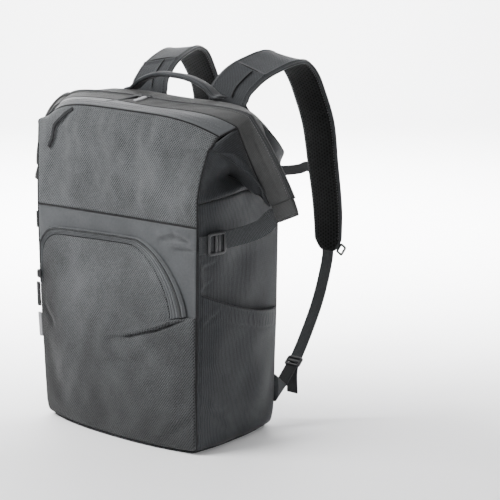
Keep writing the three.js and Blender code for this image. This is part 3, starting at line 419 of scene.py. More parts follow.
def curve_through(points):
    """A centripetal Catmull-Rom curve through some points, finely cut, and each cut's place among them."""
    p = np.asarray(points, float)
    p = np.vstack([2 * p[0] - p[1], p, 2 * p[-1] - p[-2]])
    gaps = np.maximum(np.linalg.norm(np.diff(p, axis=0), axis=1) ** 0.5, 1e-4)
    parts, places = [], []
    for k in range(1, len(p) - 2):
        d0, d1, d2 = gaps[k - 1:k + 2]
        a, b, c, d = p[k - 1:k + 3]
        m1 = ((b - a) / d0 - (c - a) / (d0 + d1) + (c - b) / d1) * d1
        m2 = ((c - b) / d1 - (d - b) / (d1 + d2) + (d - c) / d2) * d1
        t = np.linspace(0, 1, 40, endpoint=k == len(p) - 3)[:, None]
        parts.append((2 * t**3 - 3 * t**2 + 1) * b + (t**3 - 2 * t**2 + t) * m1
                     + (3 * t**2 - 2 * t**3) * c + (t**3 - t**2) * m2)
        places.append(k - 1 + t[:, 0])
    return np.vstack(parts), np.concatenate(places)


def path_through(points, count):
    """The same curve cut into count equal lengths."""
    fine, _ = curve_through(points)
    length = lengths(fine)
    return at_lengths(np.linspace(0, length[-1], count + 1), length, fine)


def directions(path, side):
    """Along, across and up at each point of a path: across is side made square to the path."""
    along = np.gradient(path, axis=0)
    along /= np.linalg.norm(along, axis=1, keepdims=True)
    side = np.broadcast_to(np.asarray(side, float), path.shape)
    across_ = side - (side * along).sum(1, keepdims=True) * along
    across_ /= np.linalg.norm(across_, axis=1, keepdims=True)
    return along, across_, np.cross(along, across_)


def band(name, path, side, width, thickness, mat, round_to=5.0, ring=24, lift=None, cap=2.5):
    """A strap along a path. Its section is |a|^n + |b|^n = 1 of width by thickness, n being round_to.
    It closes with rounded ends of length cap. lift(along, a, b) adds millimetres outwards to the section."""
    count = len(path)
    _, across_, up = directions(path, side)
    angle = np.linspace(0, 2 * math.pi, ring, endpoint=False)
    a, b = blunt(np.cos(angle), 2 / round_to), blunt(np.sin(angle), 2 / round_to)
    length = lengths(path)
    end = np.minimum(length, length[-1] - length)
    closing = np.sqrt(np.clip(1 - (1 - np.clip((end + 0.02) / cap, 0, 1)) ** 2, 0, 1))[:, None]
    wide = np.broadcast_to(np.asarray(width, float).reshape(-1, 1) / 2, (count, 1))
    thick = np.broadcast_to(np.asarray(thickness, float).reshape(-1, 1) / 2, (count, 1))
    extra = 0 if lift is None else lift(length[:, None], a[None, :], b[None, :]) * closing
    x = a * (wide - thick * 0.5 * (1 - closing)) * (1 - 0.02 * (1 - closing))
    z = b * (thick * closing + extra)
    grid = path[:, None] + x[..., None] * across_[:, None] + z[..., None] * up[:, None]
    girth = np.stack([np.where(b >= 0, a, 2 - a) * wide * np.ones((count, 1)),
                      length[:, None] * np.ones((1, ring))], -1)
    return new_object(name, grid.reshape(-1, 3), closed_faces(count, ring), girth.reshape(-1, 2), mat)


def join(name, objects):
    """One object from several, keeping their materials."""
    for other in bpy.context.view_layer.objects:
        other.select_set(other in objects)
    bpy.context.view_layer.objects.active = objects[0]
    bpy.ops.object.join()
    objects[0].name = name.replace(" ", "_")
    return objects[0]


def capsules(name, starts, ends, up, radius, mat):
    """A row of stitches: each a six-sided thread from start to end whose middle stands off the cloth."""
    ring = np.linspace(0, 2 * math.pi, 6, endpoint=False)
    along = ends - starts
    along /= np.maximum(np.linalg.norm(along, axis=1, keepdims=True), 1e-9)
    side = np.cross(up, along)
    side /= np.maximum(np.linalg.norm(side, axis=1, keepdims=True), 1e-9)
    shares = np.array([0, 0.18, 0.5, 0.82, 1.0])
    sizes = np.array([0.35, 0.9, 1.0, 0.9, 0.35])
    middle = starts[:, None] + (ends - starts)[:, None] * shares[None, :, None]
    middle = middle + up[:, None] * (radius * np.array([-0.9, 0.1, 0.45, 0.1, -0.9]))[None, :, None]
    circle = side[:, None, None] * np.cos(ring)[:, None] + up[:, None, None] * np.sin(ring)[:, None]
    points = middle[:, :, None] + circle * (radius * sizes)[None, :, None, None]
    count = len(starts)
    block = 5 * 6
    faces = grid_faces(5, 6, closed=True)
    all_faces = (faces[None] + (np.arange(count) * block)[:, None, None]).reshape(-1, 4).tolist()
    for end_ring in (range(5, -1, -1), range(24, 30)):
        caps = np.array(list(end_ring))[None] + (np.arange(count) * block)[:, None]
        all_faces += caps.tolist()
    return new_object(name, points.reshape(-1, 3), all_faces, None, mat)


def stitch_line(path, up, stitch, gap=1.3):
    """Starts, ends and ups of the stitches along a line of points."""
    length = lengths(path)
    first = np.arange(gap, length[-1] - stitch, stitch + gap)
    ups = at_lengths(first + stitch / 2, length, np.broadcast_to(up, path.shape).astype(float))
    ups /= np.maximum(np.linalg.norm(ups, axis=1, keepdims=True), 1e-9)
    return at_lengths(first, length, path), at_lengths(first + stitch, length, path), ups


def sew(name, lines, radius=0.32):
    """All the stitches of some lines, each a path and its outward direction, as one piece of thread."""
    rows = [stitch_line(path, up, cloth_sizes().stitch / MM) for path, up in lines]
    starts, ends, ups = (np.vstack([row[k] for row in rows]) for k in range(3))
    obj = capsules(name, starts, ends, ups, radius, thread())
    return finish_piece(obj, "smooth_fabric")


# ---------------------------------------------------------------- settings

class BACKPACK_PG_cloth(bpy.types.PropertyGroup):
    """Sizes of the cloth's own detail."""

    cell: bpy.props.FloatProperty(
        name="Cell", description="Size of the cells that the panels are cut into", default=0.0028,
        unit="LENGTH")
    wall: bpy.props.FloatProperty(
        name="Cloth", description="Thickness of the bag's cloth with its lining", default=0.0014, unit="LENGTH")
    wave: bpy.props.FloatProperty(
        name="Slack", description="Height of the soft waves in the upper front", default=0.0016, unit="LENGTH")
    seam: bpy.props.FloatProperty(
        name="Seam depth", description="How far a panel's edge turns in at its seams", default=0.0017,
        unit="LENGTH")
    weave: bpy.props.FloatProperty(
        name="Diamond pitch", description="Width of one diamond of the textured cloth", default=0.0034,
        unit="LENGTH")
    stitch: bpy.props.FloatProperty(
        name="Stitch", description="Length of one stitch", default=0.0026, unit="LENGTH")


def colour_property(name, description, value):
    return bpy.props.FloatVectorProperty(
        name=name, description=description, default=value, size=3, min=0, max=1, subtype="COLOR")


class BACKPACK_PG_colours(bpy.types.PropertyGroup):
    """Colours of the finishes."""

    textured: colour_property("Textured cloth", "Front pocket and upper front", (0.094, 0.099, 0.103))
    smooth: colour_property("Smooth cloth", "Front and top strips", (0.049, 0.052, 0.055))
    side: colour_property("Side cloth", "Sides, gussets, side pockets, strap cloth, handle",
                          (0.023, 0.025, 0.028))
    facing: colour_property("Facing cloth", "Colour of the zip's facings and the ear tabs",
                            (0.036, 0.0365, 0.0365))
    webbing: colour_property("Webbing", "Straps and tapes", (0.020, 0.021, 0.023))
    mesh: colour_property("Air mesh", "Back panel and inside of the shoulder straps", (0.012, 0.0125, 0.0125))
    plastic: colour_property("Plastic", "Buckles, sliders and loops", (0.012, 0.0125, 0.014))
    pull: colour_property("Light grips", "Moulded grips of the sliders", (0.22, 0.22, 0.23))
    thread: colour_property("Thread", "Stitching", (0.085, 0.085, 0.088))


class BACKPACK_PG_stage(bpy.types.PropertyGroup):
    """The floor and the light."""

    floor: colour_property("Floor", "Colour of the floor and backdrop", (0.9, 0.9, 0.91))
    key: bpy.props.FloatProperty(
        name="Key light", description="Power of the large light at the front", default=95.0, unit="POWER")
    sky: bpy.props.FloatProperty(
        name="Room light", description="Strength of the light from all round", default=0.45, min=0, max=5)


def cloth_sizes():
    return bpy.context.scene.backpack_cloth


def colours():
    return bpy.context.scene.backpack_colours


# ---------------------------------------------------------------- materials


class Tree:
    """Short calls that add nodes and join them. Each argument is a socket or a plain value."""

    def __init__(self, tree):
        self.tree = tree

    def put(self, socket, value):
        if isinstance(value, bpy.types.NodeSocket):
            self.tree.links.new(value, socket)
        else:
            socket.default_value = value

    def node(self, kind, sockets=None, **settings):
        made = self.tree.nodes.new(kind)
        for key, value in settings.items():
            setattr(made, key, value)
        for key, value in (sockets or {}).items():
            self.put(made.inputs[key], value)
        return made

    def math(self, operation, a, b=0.0, c=0.0):
        return self.node("ShaderNodeMath", {0: a, 1: b, 2: c}, operation=operation).outputs[0]

    def wave(self, phase):
        """A wave from 0 to 1 as phase goes up by one."""
        return self.math("MULTIPLY_ADD", self.math("SINE", self.math("MULTIPLY", phase, 2 * math.pi)), 0.5, 0.5)

    def spread(self, value, low, high, to_low=0.0, to_high=1.0):
        return self.node("ShaderNodeMapRange", {0: value, 1: low, 2: high, 3: to_low, 4: to_high},
                         interpolation_type="SMOOTHSTEP").outputs[0]

    def mix(self, factor, a, b):
        made = self.node("ShaderNodeMix", data_type="RGBA")
        for index, value in ((0, factor), (6, a), (7, b)):
            self.put(made.inputs[index], value)
        return made.outputs[2]

    def noise(self, vector, scale, detail=2.0, rough=0.5):
        sockets = {"Vector": vector, "Scale": scale, "Detail": detail, "Roughness": rough}
        return self.node("ShaderNodeTexNoise", sockets).outputs[0]

    def apart(self, vector):
        return self.node("ShaderNodeSeparateXYZ", {0: vector}).outputs

    def group(self, kit, **sockets):
        made = self.node("ShaderNodeGroup", node_tree=kit)
        for key, value in sockets.items():
            self.put(made.inputs[key.replace("_", " ")], value)
        return made.outputs


def effect(name, inputs, outputs, build):
    """A node group with named sockets, built once. inputs are (name, type, default)."""
    kit = bpy.data.node_groups.get(name)
    if kit is not None:
        return kit
    kit = bpy.data.node_groups.new(name, "ShaderNodeTree")
    for label, kind, default in inputs:
        socket = kit.interface.new_socket(name=label, in_out="INPUT", socket_type="NodeSocket" + kind)
        if default is not None:
            socket.default_value = default
    for label, kind in outputs:
        kit.interface.new_socket(name=label, in_out="OUTPUT", socket_type="NodeSocket" + kind)
    tree = Tree(kit)
    given = tree.node("NodeGroupInput").outputs
    out = tree.node("NodeGroupOutput")
    for label, value in build(tree, given).items():
        tree.put(out.inputs[label], value)
    return kit


def cloth_tone():
    """Slow and fine changes of tone over a cloth, from 0 to 1, and the wear that lightens it in patches."""
    def build(t, given):
        slow = t.noise(given["Vector"], 9.0, 3.0, 0.55)
        fine = t.noise(given["Vector"], 260.0, 2.0, 0.6)
        mixed = t.math("MULTIPLY_ADD", fine, 0.35, t.math("MULTIPLY", slow, 0.65))
        return {"Tone": t.spread(mixed, 0.3, 0.7), "Patch": t.spread(slow, 0.4, 0.72)}
    return effect("Cloth tone", [("Vector", "Vector", None)], [("Tone", "Float"), ("Patch", "Float")], build)


def diamond_weave():
    """Two crossing sets of raised diagonals, one stronger, over a fine plain weave: height 0 to 1."""
    def build(t, given):
        x, y, _ = t.apart(given["Vector"])
        u = t.math("DIVIDE", x, given["Width"])
        w = t.math("DIVIDE", y, given["Length"])
        rising = t.math("POWER", t.wave(t.math("SUBTRACT", w, u)), 1.6)
        falling = t.math("POWER", t.wave(t.math("ADD", w, u)), 2.2)
        lines = t.math("MAXIMUM", rising, t.math("MULTIPLY", falling, given["Crossing"]))
        threads = t.math("MULTIPLY", t.wave(t.math("MULTIPLY", u, 6.0)), t.wave(t.math("MULTIPLY", w, 7.0)))
        return {"Height": t.math("MULTIPLY_ADD", threads, 0.3, t.math("MULTIPLY", lines, 0.7)), "Lines": lines}
    inputs = [("Vector", "Vector", None), ("Width", "Float", 0.004), ("Length", "Float", 0.005),
              ("Crossing", "Float", 0.6)]
    return effect("Diamond weave", inputs, [("Height", "Float"), ("Lines", "Float")], build)


def line_weave():
    """A fine plain weave whose threads show as lines along the cloth: height 0 to 1."""
    def build(t, given):
        x, y, _ = t.apart(given["Vector"])
        bend = t.math("MULTIPLY", t.noise(given["Vector"], 120.0), 0.8)
        u = t.math("ADD", t.math("DIVIDE", x, given["Pitch"]), bend)
        w = t.math("DIVIDE", y, given["Pitch"])
        lines, threads = t.wave(u), t.math("MULTIPLY", t.wave(u), t.wave(w))
        return {"Height": t.math("ADD", t.math("MULTIPLY", lines, given["Lines"]),
                                 t.math("MULTIPLY", threads, t.math("SUBTRACT", 1.0, given["Lines"])))}
    inputs = [("Vector", "Vector", None), ("Pitch", "Float", 0.001), ("Lines", "Float", 0.5)]
    return effect("Line weave", inputs, [("Height", "Float")], build)


def rib_weave():
    """Webbing: ribs across it, each broken into short threads that lean in turns: height 0 to 1."""
    def build(t, given):
        x, y, _ = t.apart(given["Vector"])
        zigzag = t.math("PINGPONG", x, given["Thread"])
        lean = t.math("DIVIDE", zigzag, t.math("MULTIPLY", given["Thread"], 2.2))
        ribs = t.wave(t.math("ADD", t.math("DIVIDE", y, given["Rib"]), lean))
        cuts = t.wave(t.math("DIVIDE", x, given["Thread"]))
        return {"Height": t.math("MULTIPLY_ADD", cuts, 0.3, t.math("MULTIPLY", ribs, 0.7))}
    inputs = [("Vector", "Vector", None), ("Rib", "Float", 0.0016), ("Thread", "Float", 0.0012)]
    return effect("Rib weave", inputs, [("Height", "Float")], build)


def open_mesh():
    """Round holes where three sets of lines meet, on a grid of hexagons: height 0 to 1, and the holes' mask."""
    def build(t, given):
        x, y, _ = t.apart(given["Vector"])
        rate = t.math("DIVIDE", 2 * math.pi, given["Pitch"])
        total = None
        for angle in (0, 60, 120):
            c, s = math.cos(math.radians(angle)), math.sin(math.radians(angle))
            way = t.math("MULTIPLY_ADD", x, c, t.math("MULTIPLY", y, s))
            wave = t.math("COSINE", t.math("MULTIPLY", way, rate))
            total = wave if total is None else t.math("ADD", total, wave)
        hole = t.spread(total, 0.2, 1.3)
        return {"Height": t.math("SUBTRACT", 1.0, hole), "Hole": hole}
    inputs = [("Vector", "Vector", None), ("Pitch", "Float", 0.0042)]
    return effect("Open mesh", inputs, [("Height", "Float"), ("Hole", "Float")], build)


def start_material(name):
    """A material with its node tree, its own UV and Object coordinates, and its shader."""
    mat = bpy.data.materials.get(name)
    if mat is not None:
        return mat, None, None, None, None
    mat = bpy.data.materials.new(name)
    mat.use_nodes = True
    t = Tree(mat.node_tree)
    shader = mat.node_tree.nodes["Principled BSDF"]
    where = t.node("ShaderNodeTexCoord").outputs
    return mat, t, shader, where["UV"], where["Object"]


def painted_foot_shade():
    """Painted shade that darkens the cloth towards the bag's foot and its left seam: 1 high up, less near the
    floor.
    """
    def build(t, given):
        x, _, z = t.apart(given["Vector"])
        # Painted shade: darker towards the floor, and towards the left seam below 0.2 to 0.3 m.
        low = t.spread(z, 0.0, 0.28, 0.34, 1.0)
        side = t.math("MULTIPLY", t.spread(x, -0.152, -0.065, 0.85, 0.0), t.spread(z, 0.2, 0.3, 1.0, 0.0))
        return {"Light": t.math("MULTIPLY", low, t.math("SUBTRACT", 1.0, side))}
    return effect("Painted foot shade", [("Vector", "Vector", None)], [("Light", "Float")], build)


def dress(t, shader, colour, height, depth, rough, tone, shade, sheen, contrast, strength=0.8, light=None):
    """Puts a finish together: its tone darkens and lightens the colour and the roughness, and the height gives
    the bump. Shade, if there is one, is painted shade that darkens the hollows, and light is painted shade that
    darkens it by place."""
    def dimmed(by):
        return tuple(min(channel * by, 1) for channel in colour) + (1,)
    base = t.mix(tone["Tone"], dimmed(1 - contrast), dimmed(1 + contrast))
    # Painted shade in the hollows: the weave's, the mesh's holes and the gaps of the coil.
    if shade is not None:
        base = t.mix(shade, dimmed(0.16), base)
    # Painted shade by place, towards the floor and the left seam.
    if light is not None:
        base = t.mix(light, (0, 0, 0, 1), base)
    t.put(shader.inputs["Base Color"], base)
    t.put(shader.inputs["Roughness"], t.spread(tone["Patch"], 0.0, 1.0, rough + 0.06, rough - 0.06))
    shader.inputs["Sheen Weight"].default_value = sheen
    shader.inputs["Sheen Roughness"].default_value = 0.5
    shader.inputs["Specular IOR Level"].default_value = 0.22
    bump = t.node("ShaderNodeBump", {"Strength": strength, "Distance": depth, "Height": height})
    t.put(shader.inputs["Normal"], bump.outputs[0])


def woven(name, kit, sockets, colour, depth, rough, shade=None, sheen=0.06, contrast=0.2, strength=0.8,
          mask="Height", foot=False):
    """A woven cloth: the node group kit, on the piece's own flat pattern, gives the threads. Shade is the span
    of the mask over which the cloth lightens out of the painted shade in its hollows, and foot adds painted
    shade that darkens it towards the floor and the left seam."""
    mat, t, shader, uv, place = start_material(name)
    if t:
        weave = t.group(kit(), Vector=uv, **sockets)
        tone = t.group(cloth_tone(), Vector=place)
        # Painted shade in the weave's hollows.
        painted_hollow_shade = None if shade is None else t.spread(weave[mask], *shade)
        light = t.group(painted_foot_shade(), Vector=place)["Light"] if foot else None
        dress(t, shader, colour, weave["Height"], depth, rough, tone, painted_hollow_shade, sheen, contrast, strength, light)
    return mat


def textured_cloth():
    """The diamond cloth of the pocket and the upper front."""
    pitch = cloth_sizes().weave
    # foot=True paints shade towards the floor and the left seam.
    return woven("textured cloth", diamond_weave, {"Width": pitch, "Length": pitch * 1.35, "Crossing": 0.8},
                 colours().textured, 0.0006, 0.74, (0.05, 0.8), 0.07, 0.4, 1.0, foot=True)


def smooth_cloth():
    """The tightly woven cloth of the front and the top, with a little shine."""
    return woven("smooth cloth", line_weave, {"Pitch": 0.0009, "Lines": 0.25}, colours().smooth,
                 0.00012, 0.5, None, 0.08, 0.16)


def side_cloth():
    """The darker cloth of the sides, with fine upright lines."""
    return woven("side cloth", line_weave, {"Pitch": 0.0027, "Lines": 0.8}, colours().side,
                 0.0003, 0.6, (0.0, 0.7, 0.3, 1.0))


def facing_cloth():
    """The warm, dark cloth of the zip's facings and the ear tabs, with fine lines."""
    return woven("facing cloth", line_weave, {"Pitch": 0.0016, "Lines": 0.6}, colours().facing,
                 0.0002, 0.66, (0.0, 0.7, 0.3, 1.0))


def strap_cloth():
    """The cloth on the outside of the shoulder straps."""
    return woven("strap cloth", diamond_weave, {"Width": 0.003, "Length": 0.0036, "Crossing": 0.9},
                 colours().side, 0.0003, 0.72, (0.05, 0.7), mask="Lines")


def webbing_cloth(name="ribbed webbing", colour=None):
    """Ribbed webbing, in the webbing's colour or another."""
    return woven(name, rib_weave, {"Rib": 0.0019, "Thread": 0.0016}, colour or colours().webbing,
                 0.0003, 0.7, (0.1, 0.7))


def painted_shade_cord():
    """A near-black cord laid in the grooves of the seams as painted shade."""
    return webbing_cloth("painted shade cord", (0.006, 0.006, 0.007))


def binding_cloth():
    """The narrow tape round the straps' edges."""
    return woven("binding tape", rib_weave, {"Rib": 0.0012, "Thread": 0.001}, colours().webbing, 0.0002, 0.66)


def air_mesh():
    """Spacer mesh with round holes over a dark ground, with painted shade darkening the holes."""
    mat, t, shader, uv, place = start_material("air mesh")
    if t:
        holes = t.group(open_mesh(), Vector=uv, Pitch=0.0046)
        tone = t.group(cloth_tone(), Vector=place)
        # Painted shade in the mesh's holes.
        shade = t.math("SUBTRACT", 1.0, t.math("MULTIPLY", holes["Hole"], 0.9))
        dress(t, shader, colours().mesh, holes["Height"], 0.0012, 0.85, tone, shade, 0.0, 0.2)
        shader.inputs["Specular IOR Level"].default_value = 0.06
    return mat


def moulded(name, colour, rough):
    """Moulded plastic: a fine grain, and edges and patches rubbed a little smoother."""
    mat, t, shader, _, place = start_material(name)
    if t:
        grain = t.noise(place, 2600.0, 2.0, 0.6)
        tone = t.group(cloth_tone(), Vector=place)
        dress(t, shader, colour, grain, 0.00006, rough, tone, None, 0.0, 0.12, 0.5)
        shader.inputs["Specular IOR Level"].default_value = 0.5
    return mat


def plastic():
    return moulded("moulded plastic", colours().plastic, 0.42)


def light_plastic():
    return moulded("light grip", colours().pull, 0.5)


def thread():
    """Stitching thread: fine twist along each stitch."""
    mat, t, shader, _, place = start_material("thread")
    if t:
        twist = t.noise(place, 1800.0, 1.0, 0.5)
        tone = t.group(cloth_tone(), Vector=place)
        dress(t, shader, colours().thread, twist, 0.00008, 0.7, tone, None, 0.2, 0.2)
    return mat


def zip_coil():
    """The zip's coil: teeth across it, with painted shade in the gaps between them."""
    mat, t, shader, uv, place = start_material("zip coil")
    if t:
        _, y, _ = t.apart(uv)
        teeth = t.wave(t.math("DIVIDE", y, 0.0016))
        tone = t.group(cloth_tone(), Vector=place)
        # Painted shade between the teeth.
        shade = t.spread(teeth, 0.1, 0.7)
        dress(t, shader, colours().webbing, teeth, 0.0005, 0.45, tone, shade, 0.1, 0.15)
    return mat


# ---------------------------------------------------------------- the shell


def cell():
    """The cells' size in millimetres."""
    return cloth_sizes().cell / MM


def seam():
    """The seams' depth in millimetres."""
    return cloth_sizes().seam / MM


def upper_front_relief(v, q, base, edge):
    """Slack between the seams: upright waves that wander a little, smaller ripples under the top seam."""
    x, z = base[..., 0], base[..., 2]
    fade = smooth(0, 26, edge)
    drift = 9 * np.sin(z / 37) + 5 * waves(base[..., [0, 2]], 90, 3)
    upright = np.cos(2 * math.pi * (x + 6 + drift) / 74)
    high = cloth_sizes().wave / MM
    ripple = waves(base[..., [0, 2]] * [1.7, 0.7], 34, 5)
    near_top = smooth(395, 445, z) * smooth(2, 12, edge)
    return fade * high * (upright * 0.9 + 0.35 * ripple) + near_top * 0.55 * np.cos(2 * math.pi * x / 23
                                                                                    + drift / 6)


def front_relief(v, q, base, edge):
    """The smooth band between the pocket and the seam: one long lens-shaped fold and slight waves."""
    x, z = base[..., 0], base[..., 2]
    table = [(80, 288, 110, 297, 4.2, 3.4, 0.5), (106, 297, 138, 290, 4.2, 3.4, 0.5),
             (103, 280, 147, 283, 2.8, 3.0, 0.7)]
    return creases(x, z, table) + 0.5 * waves(base[..., [0, 2]], 60, 11) * smooth(0, 12, edge)


def side_relief(hand):
    """Round ridge of slack beside the front seam, crinkled, and long soft wrinkles over the side."""
    def relief(v, q, base, edge):
        y, z = base[..., 1], base[..., 2]
        ridge = hump(y + 80.5, 5.2) * smooth(4, 16, z) * smooth(340, 322, z)
        crinkle = waves(base[..., [1, 2]] * [0.5, 1.0], 17, 21 + hand)
        soft = waves(base[..., [1, 2]], 75, 23 + hand)
        lines = creases(y, z, [(-84, 257, -52, 262, 2.4, 1.0, 0.8), (-86, 226, -58, 238, 2.4, 0.7, 0.8)])
        return ridge * (2.4 - 1.2 * hand + 0.7 * crinkle) + soft * 0.9 * smooth(0, 30, edge) + lines
    return relief


def gusset_relief(hand):
    """Slack in the tuck: a pleat just under the fold from the peak to the ear, and small wrinkles in it."""
    def relief(v, q, base, edge):
        points = base[..., [1, 2]] * [1.0, 0.8]
        wrinkle = waves(points, 24, 31 + hand)
        pleat = hump(v - (PEAK - 0.27), 0.13) * smooth(6, 40, edge)
        bulge = hump(v - (LIP - 0.3), 0.5)
        return -12.0 * pleat + wrinkle * 0.7 * smooth(0, 14, edge) + bulge * 0.8
    return relief


def back_relief(v, q, base, edge):
    """The back pad: two upright cushions with a channel between them and two channels across."""
    x, z = base[..., 0], base[..., 2]
    channel = hump(x, 9.0)
    rows = sum(hump(z - level - 0.0006 * x * x, 6.0) for level in (120, 235, 345))
    return -4.0 * np.maximum(channel, 0.8 * rows) * smooth(4, 20, edge) + 1.2 * smooth(0, 26, edge)


def base_board():
    """The bag's floor: the body's lowest ring drawn together to its middle, its rim rounded over.
    Ring r of the board lies at a share of the outline, at the height of a half circle."""
    q = np.linspace(0, ROUND, 220, endpoint=False)
    outline = body(np.zeros_like(q), q)
    front = q <= FRONT_END
    outline[front, 1] = pocket_surface(outline[front, 0], np.full(front.sum(), FLOOR), 2.0)[:, 1]
    rise = np.linspace(-math.pi / 2, math.pi / 2, 7)
    shares = np.concatenate([[0.3, 0.6, 0.85, 0.95], 1 - 0.009 * (1 - np.cos(rise)), [0.95, 0.85, 0.6, 0.3]])
    heights = np.concatenate([[0.0] * 4, 1.25 + 1.25 * np.sin(rise), [2.5] * 4])
    grid = outline[None] * np.stack([shares, shares, 0 * shares], -1)[:, None]
    grid[..., 2] = heights[:, None]
    faces = closed_faces(*grid.shape[:2])
    obj = new_object("Base board", grid.reshape(-1, 3), faces, grid.reshape(-1, 3)[:, :2], side_cloth())
    return finish_piece(obj, "dark_fabric", "base_panel")


def build_shell():
    """All the panels of the body, each from body(v, q) between its own rows and seams."""
    wall, s = cloth_sizes().wall / MM, seam()
    size = cell()
    all_round = (s, s, s, s)
    base_board()
    finish_piece(panel("Front panel", (0, SEAM), (0, 1), size, smooth_cloth(), front_relief, (0.6, s, s, s)),
                 "smooth_fabric", "front_panel", wall=wall)
    finish_piece(panel("Upper front panel", (SEAM, BROW), (0, 1), size, textured_cloth(), upper_front_relief,
                       all_round), "textured_fabric", "upper_front_panel", wall=wall)
    finish_piece(panel("Top front strip", (BROW, CROWN), (0, 1), size * 0.7, smooth_cloth(), None,
                       (s, s * 0.8, 0.5, 0.5)), "smooth_fabric", "top_front_strip", wall=wall)
    finish_piece(panel("Top back strip", (BROW, CROWN), (RIGHT_END, BACK_END), size * 0.8, smooth_cloth(), None,
                       all_round), "smooth_fabric", "top_back_strip", wall=wall)
    finish_piece(panel("Front zip facing", (CROWN, RIM), (LEFT_TURN - ROUND, RIGHT_FOLD), size * 0.7,
                       facing_cloth(), facing_relief, (s * 0.8, 0.6, 0.4, 0.4), 0.5),
                 "smooth_fabric", "top_facing_front", wall=wall * 0.8)
    finish_piece(panel("Back zip facing", (CROWN, RIM), (RIGHT_TURN, LEFT_FOLD), size * 0.7,
                       facing_cloth(), facing_relief, (s * 0.8, 0.6, 0.4, 0.4), 3.7),
                 "smooth_fabric", "top_facing_back", wall=wall * 0.8)
    back = panel("Back pad", (0, BROW), (RIGHT_END, BACK_END), size * 1.1, air_mesh(), back_relief, all_round)
    finish_piece(back, "air_mesh", "back_panel", wall=4.0)
    for letter, hand in SIDES.items():
        span = (FRONT_END, RIGHT_END) if hand > 0 else (BACK_END, ROUND)
        finish_piece(panel("Side panel " + letter, (0, SHOULDER), span, size, side_cloth(), side_relief(hand),
                           all_round), "dark_fabric", "side_panel_" + letter, wall=wall)
        guide = RIGHT_FOLD if hand > 0 else LEFT_FOLD
        finish_piece(panel("Gusset " + letter, (SHOULDER, CROWN), span, size * 0.9, side_cloth(),
                           gusset_relief(hand), (s, s * 0.6, s, s), guide),
                     "dark_fabric", "gusset_" + letter, wall=wall * 0.7)


def facing_relief(v, q, base, edge):
    """Slight waves along the zip's facings, and down the ears the seam that joins their two tapes."""
    on_ear = smooth(0.1, 0.35, np.minimum(np.abs(q - 0.5), np.abs(q - 3.7)) - 0.5)
    seam_line = hump(v - CROWN - 0.5, 0.05)
    return (0.35 * waves(base, 28, 41) - 1.1 * seam_line * on_ear) * smooth(0, 6, edge)


# ---------------------------------------------------------------- places on the plain walls

LEVEL_TABLE = np.linspace(0, SEAM, 400)
WALL_HEIGHTS = z_of(rows_at(LEVEL_TABLE)["midL"])


def wall_level(z):
    """The row position whose height is z, on the straight walls."""
    return np.interp(z, WALL_HEIGHTS, LEVEL_TABLE)


def front_edge(z):
    """Half the front's width at a height."""
    return x_of(rows_at(wall_level(z))["cornerX"])


def front_y(x, z):
    """How far forward the plain front reaches at a place."""
    return across(wall_level(z), np.clip(x / front_edge(z), -1, 1), -1)[..., 1]


def side_x(y, z):
    """How far out the side is at a place, from its corner to its middle."""
    r = rows_at(wall_level(z))
    corner = np.where(y < 0, y_of(r["cornerY"]), y_of(r["backY"]))
    s = np.clip((corner - np.abs(y)) / (corner - EAR_GAP), 0, 1)
    front = round_side(wall_level(z), s, 1, -1)[..., 0]
    back = round_side(wall_level(z), s, 1, 1)[..., 0]
    return np.where(y < 0, front, back)


def solve(below, low, high, shape):
    """The row position up to which below(v) holds, by halving the span."""
    low, high = np.full(shape, float(low)), np.full(shape, float(high))
    for _ in range(30):
        mid = (low + high) / 2
        under = below(mid)
        low, high = np.where(under, mid, low), np.where(under, high, mid)
    return low


def back_y(x, z):
    """How far back the body reaches at a place on its back."""
    x, z = np.broadcast_arrays(np.asarray(x, float), np.asarray(z, float))
    at = lambda v: across(v, x / x_of(rows_at(v)["backX"]), 1)
    return at(solve(lambda v: at(v)[..., 2] < z, 0, BROW, x.shape))[..., 1]


def upper_y(x, z):
    """How far forward the upper front reaches at a place."""
    x, z = np.broadcast_arrays(np.asarray(x, float), np.asarray(z, float))
    at = lambda v: across(v, x / x_of(rows_at(v)["cornerX"]), -1)
    return at(solve(lambda v: at(v)[..., 2] < z, SEAM, BROW, x.shape))[..., 1]


def top_z(x, y):
    """How high the front half of the top is over a place."""
    x, y = np.broadcast_arrays(np.asarray(x, float), np.asarray(y, float))
    at = lambda v: across(v, x / x_of(rows_at(v)["cornerX"]), -1)
    return at(solve(lambda v: at(v)[..., 1] < y, BROW, RIM, x.shape))[..., 2]


# ---------------------------------------------------------------- front pocket

POCKET_BULGE = 13.0
POCKET_SHOULDER = 288.0
POCKET_CORNER = 37.0
POCKET_END = 193.0
BAND_LEFT_END = 200.0
BAND_THICKNESS = 3.0
BAND_INSET = {"left": 7.0, "top": 10.5, "right": 25.0}
NO_INSET = {"left": 0.0, "top": 0.0, "right": 0.0}


def pocket_bulge(x, z):
    """How far the pocket's face stands off: fullest low in the middle, nothing at the sides and the arch."""
    a = np.minimum(np.abs(x) / front_edge(z), 1)
    low = 0.85 + 0.15 * smooth(FLOOR, FLOOR + 40, z)
    high = 1 - smooth(130, POCKET_SHOULDER, z)
    return POCKET_BULGE * (1 - a**3) * low * high


def pocket_surface(x, z, off):
    """The pocket's face at a place: off and its bulge in front of the front panel, narrowing by the floor."""
    wide = np.clip(x, -0.992 * front_edge(z), 0.992 * front_edge(z))
    return np.stack([wide, front_y(wide, z) - LAY - off - pocket_bulge(x, z), z * np.ones_like(wide)], -1)


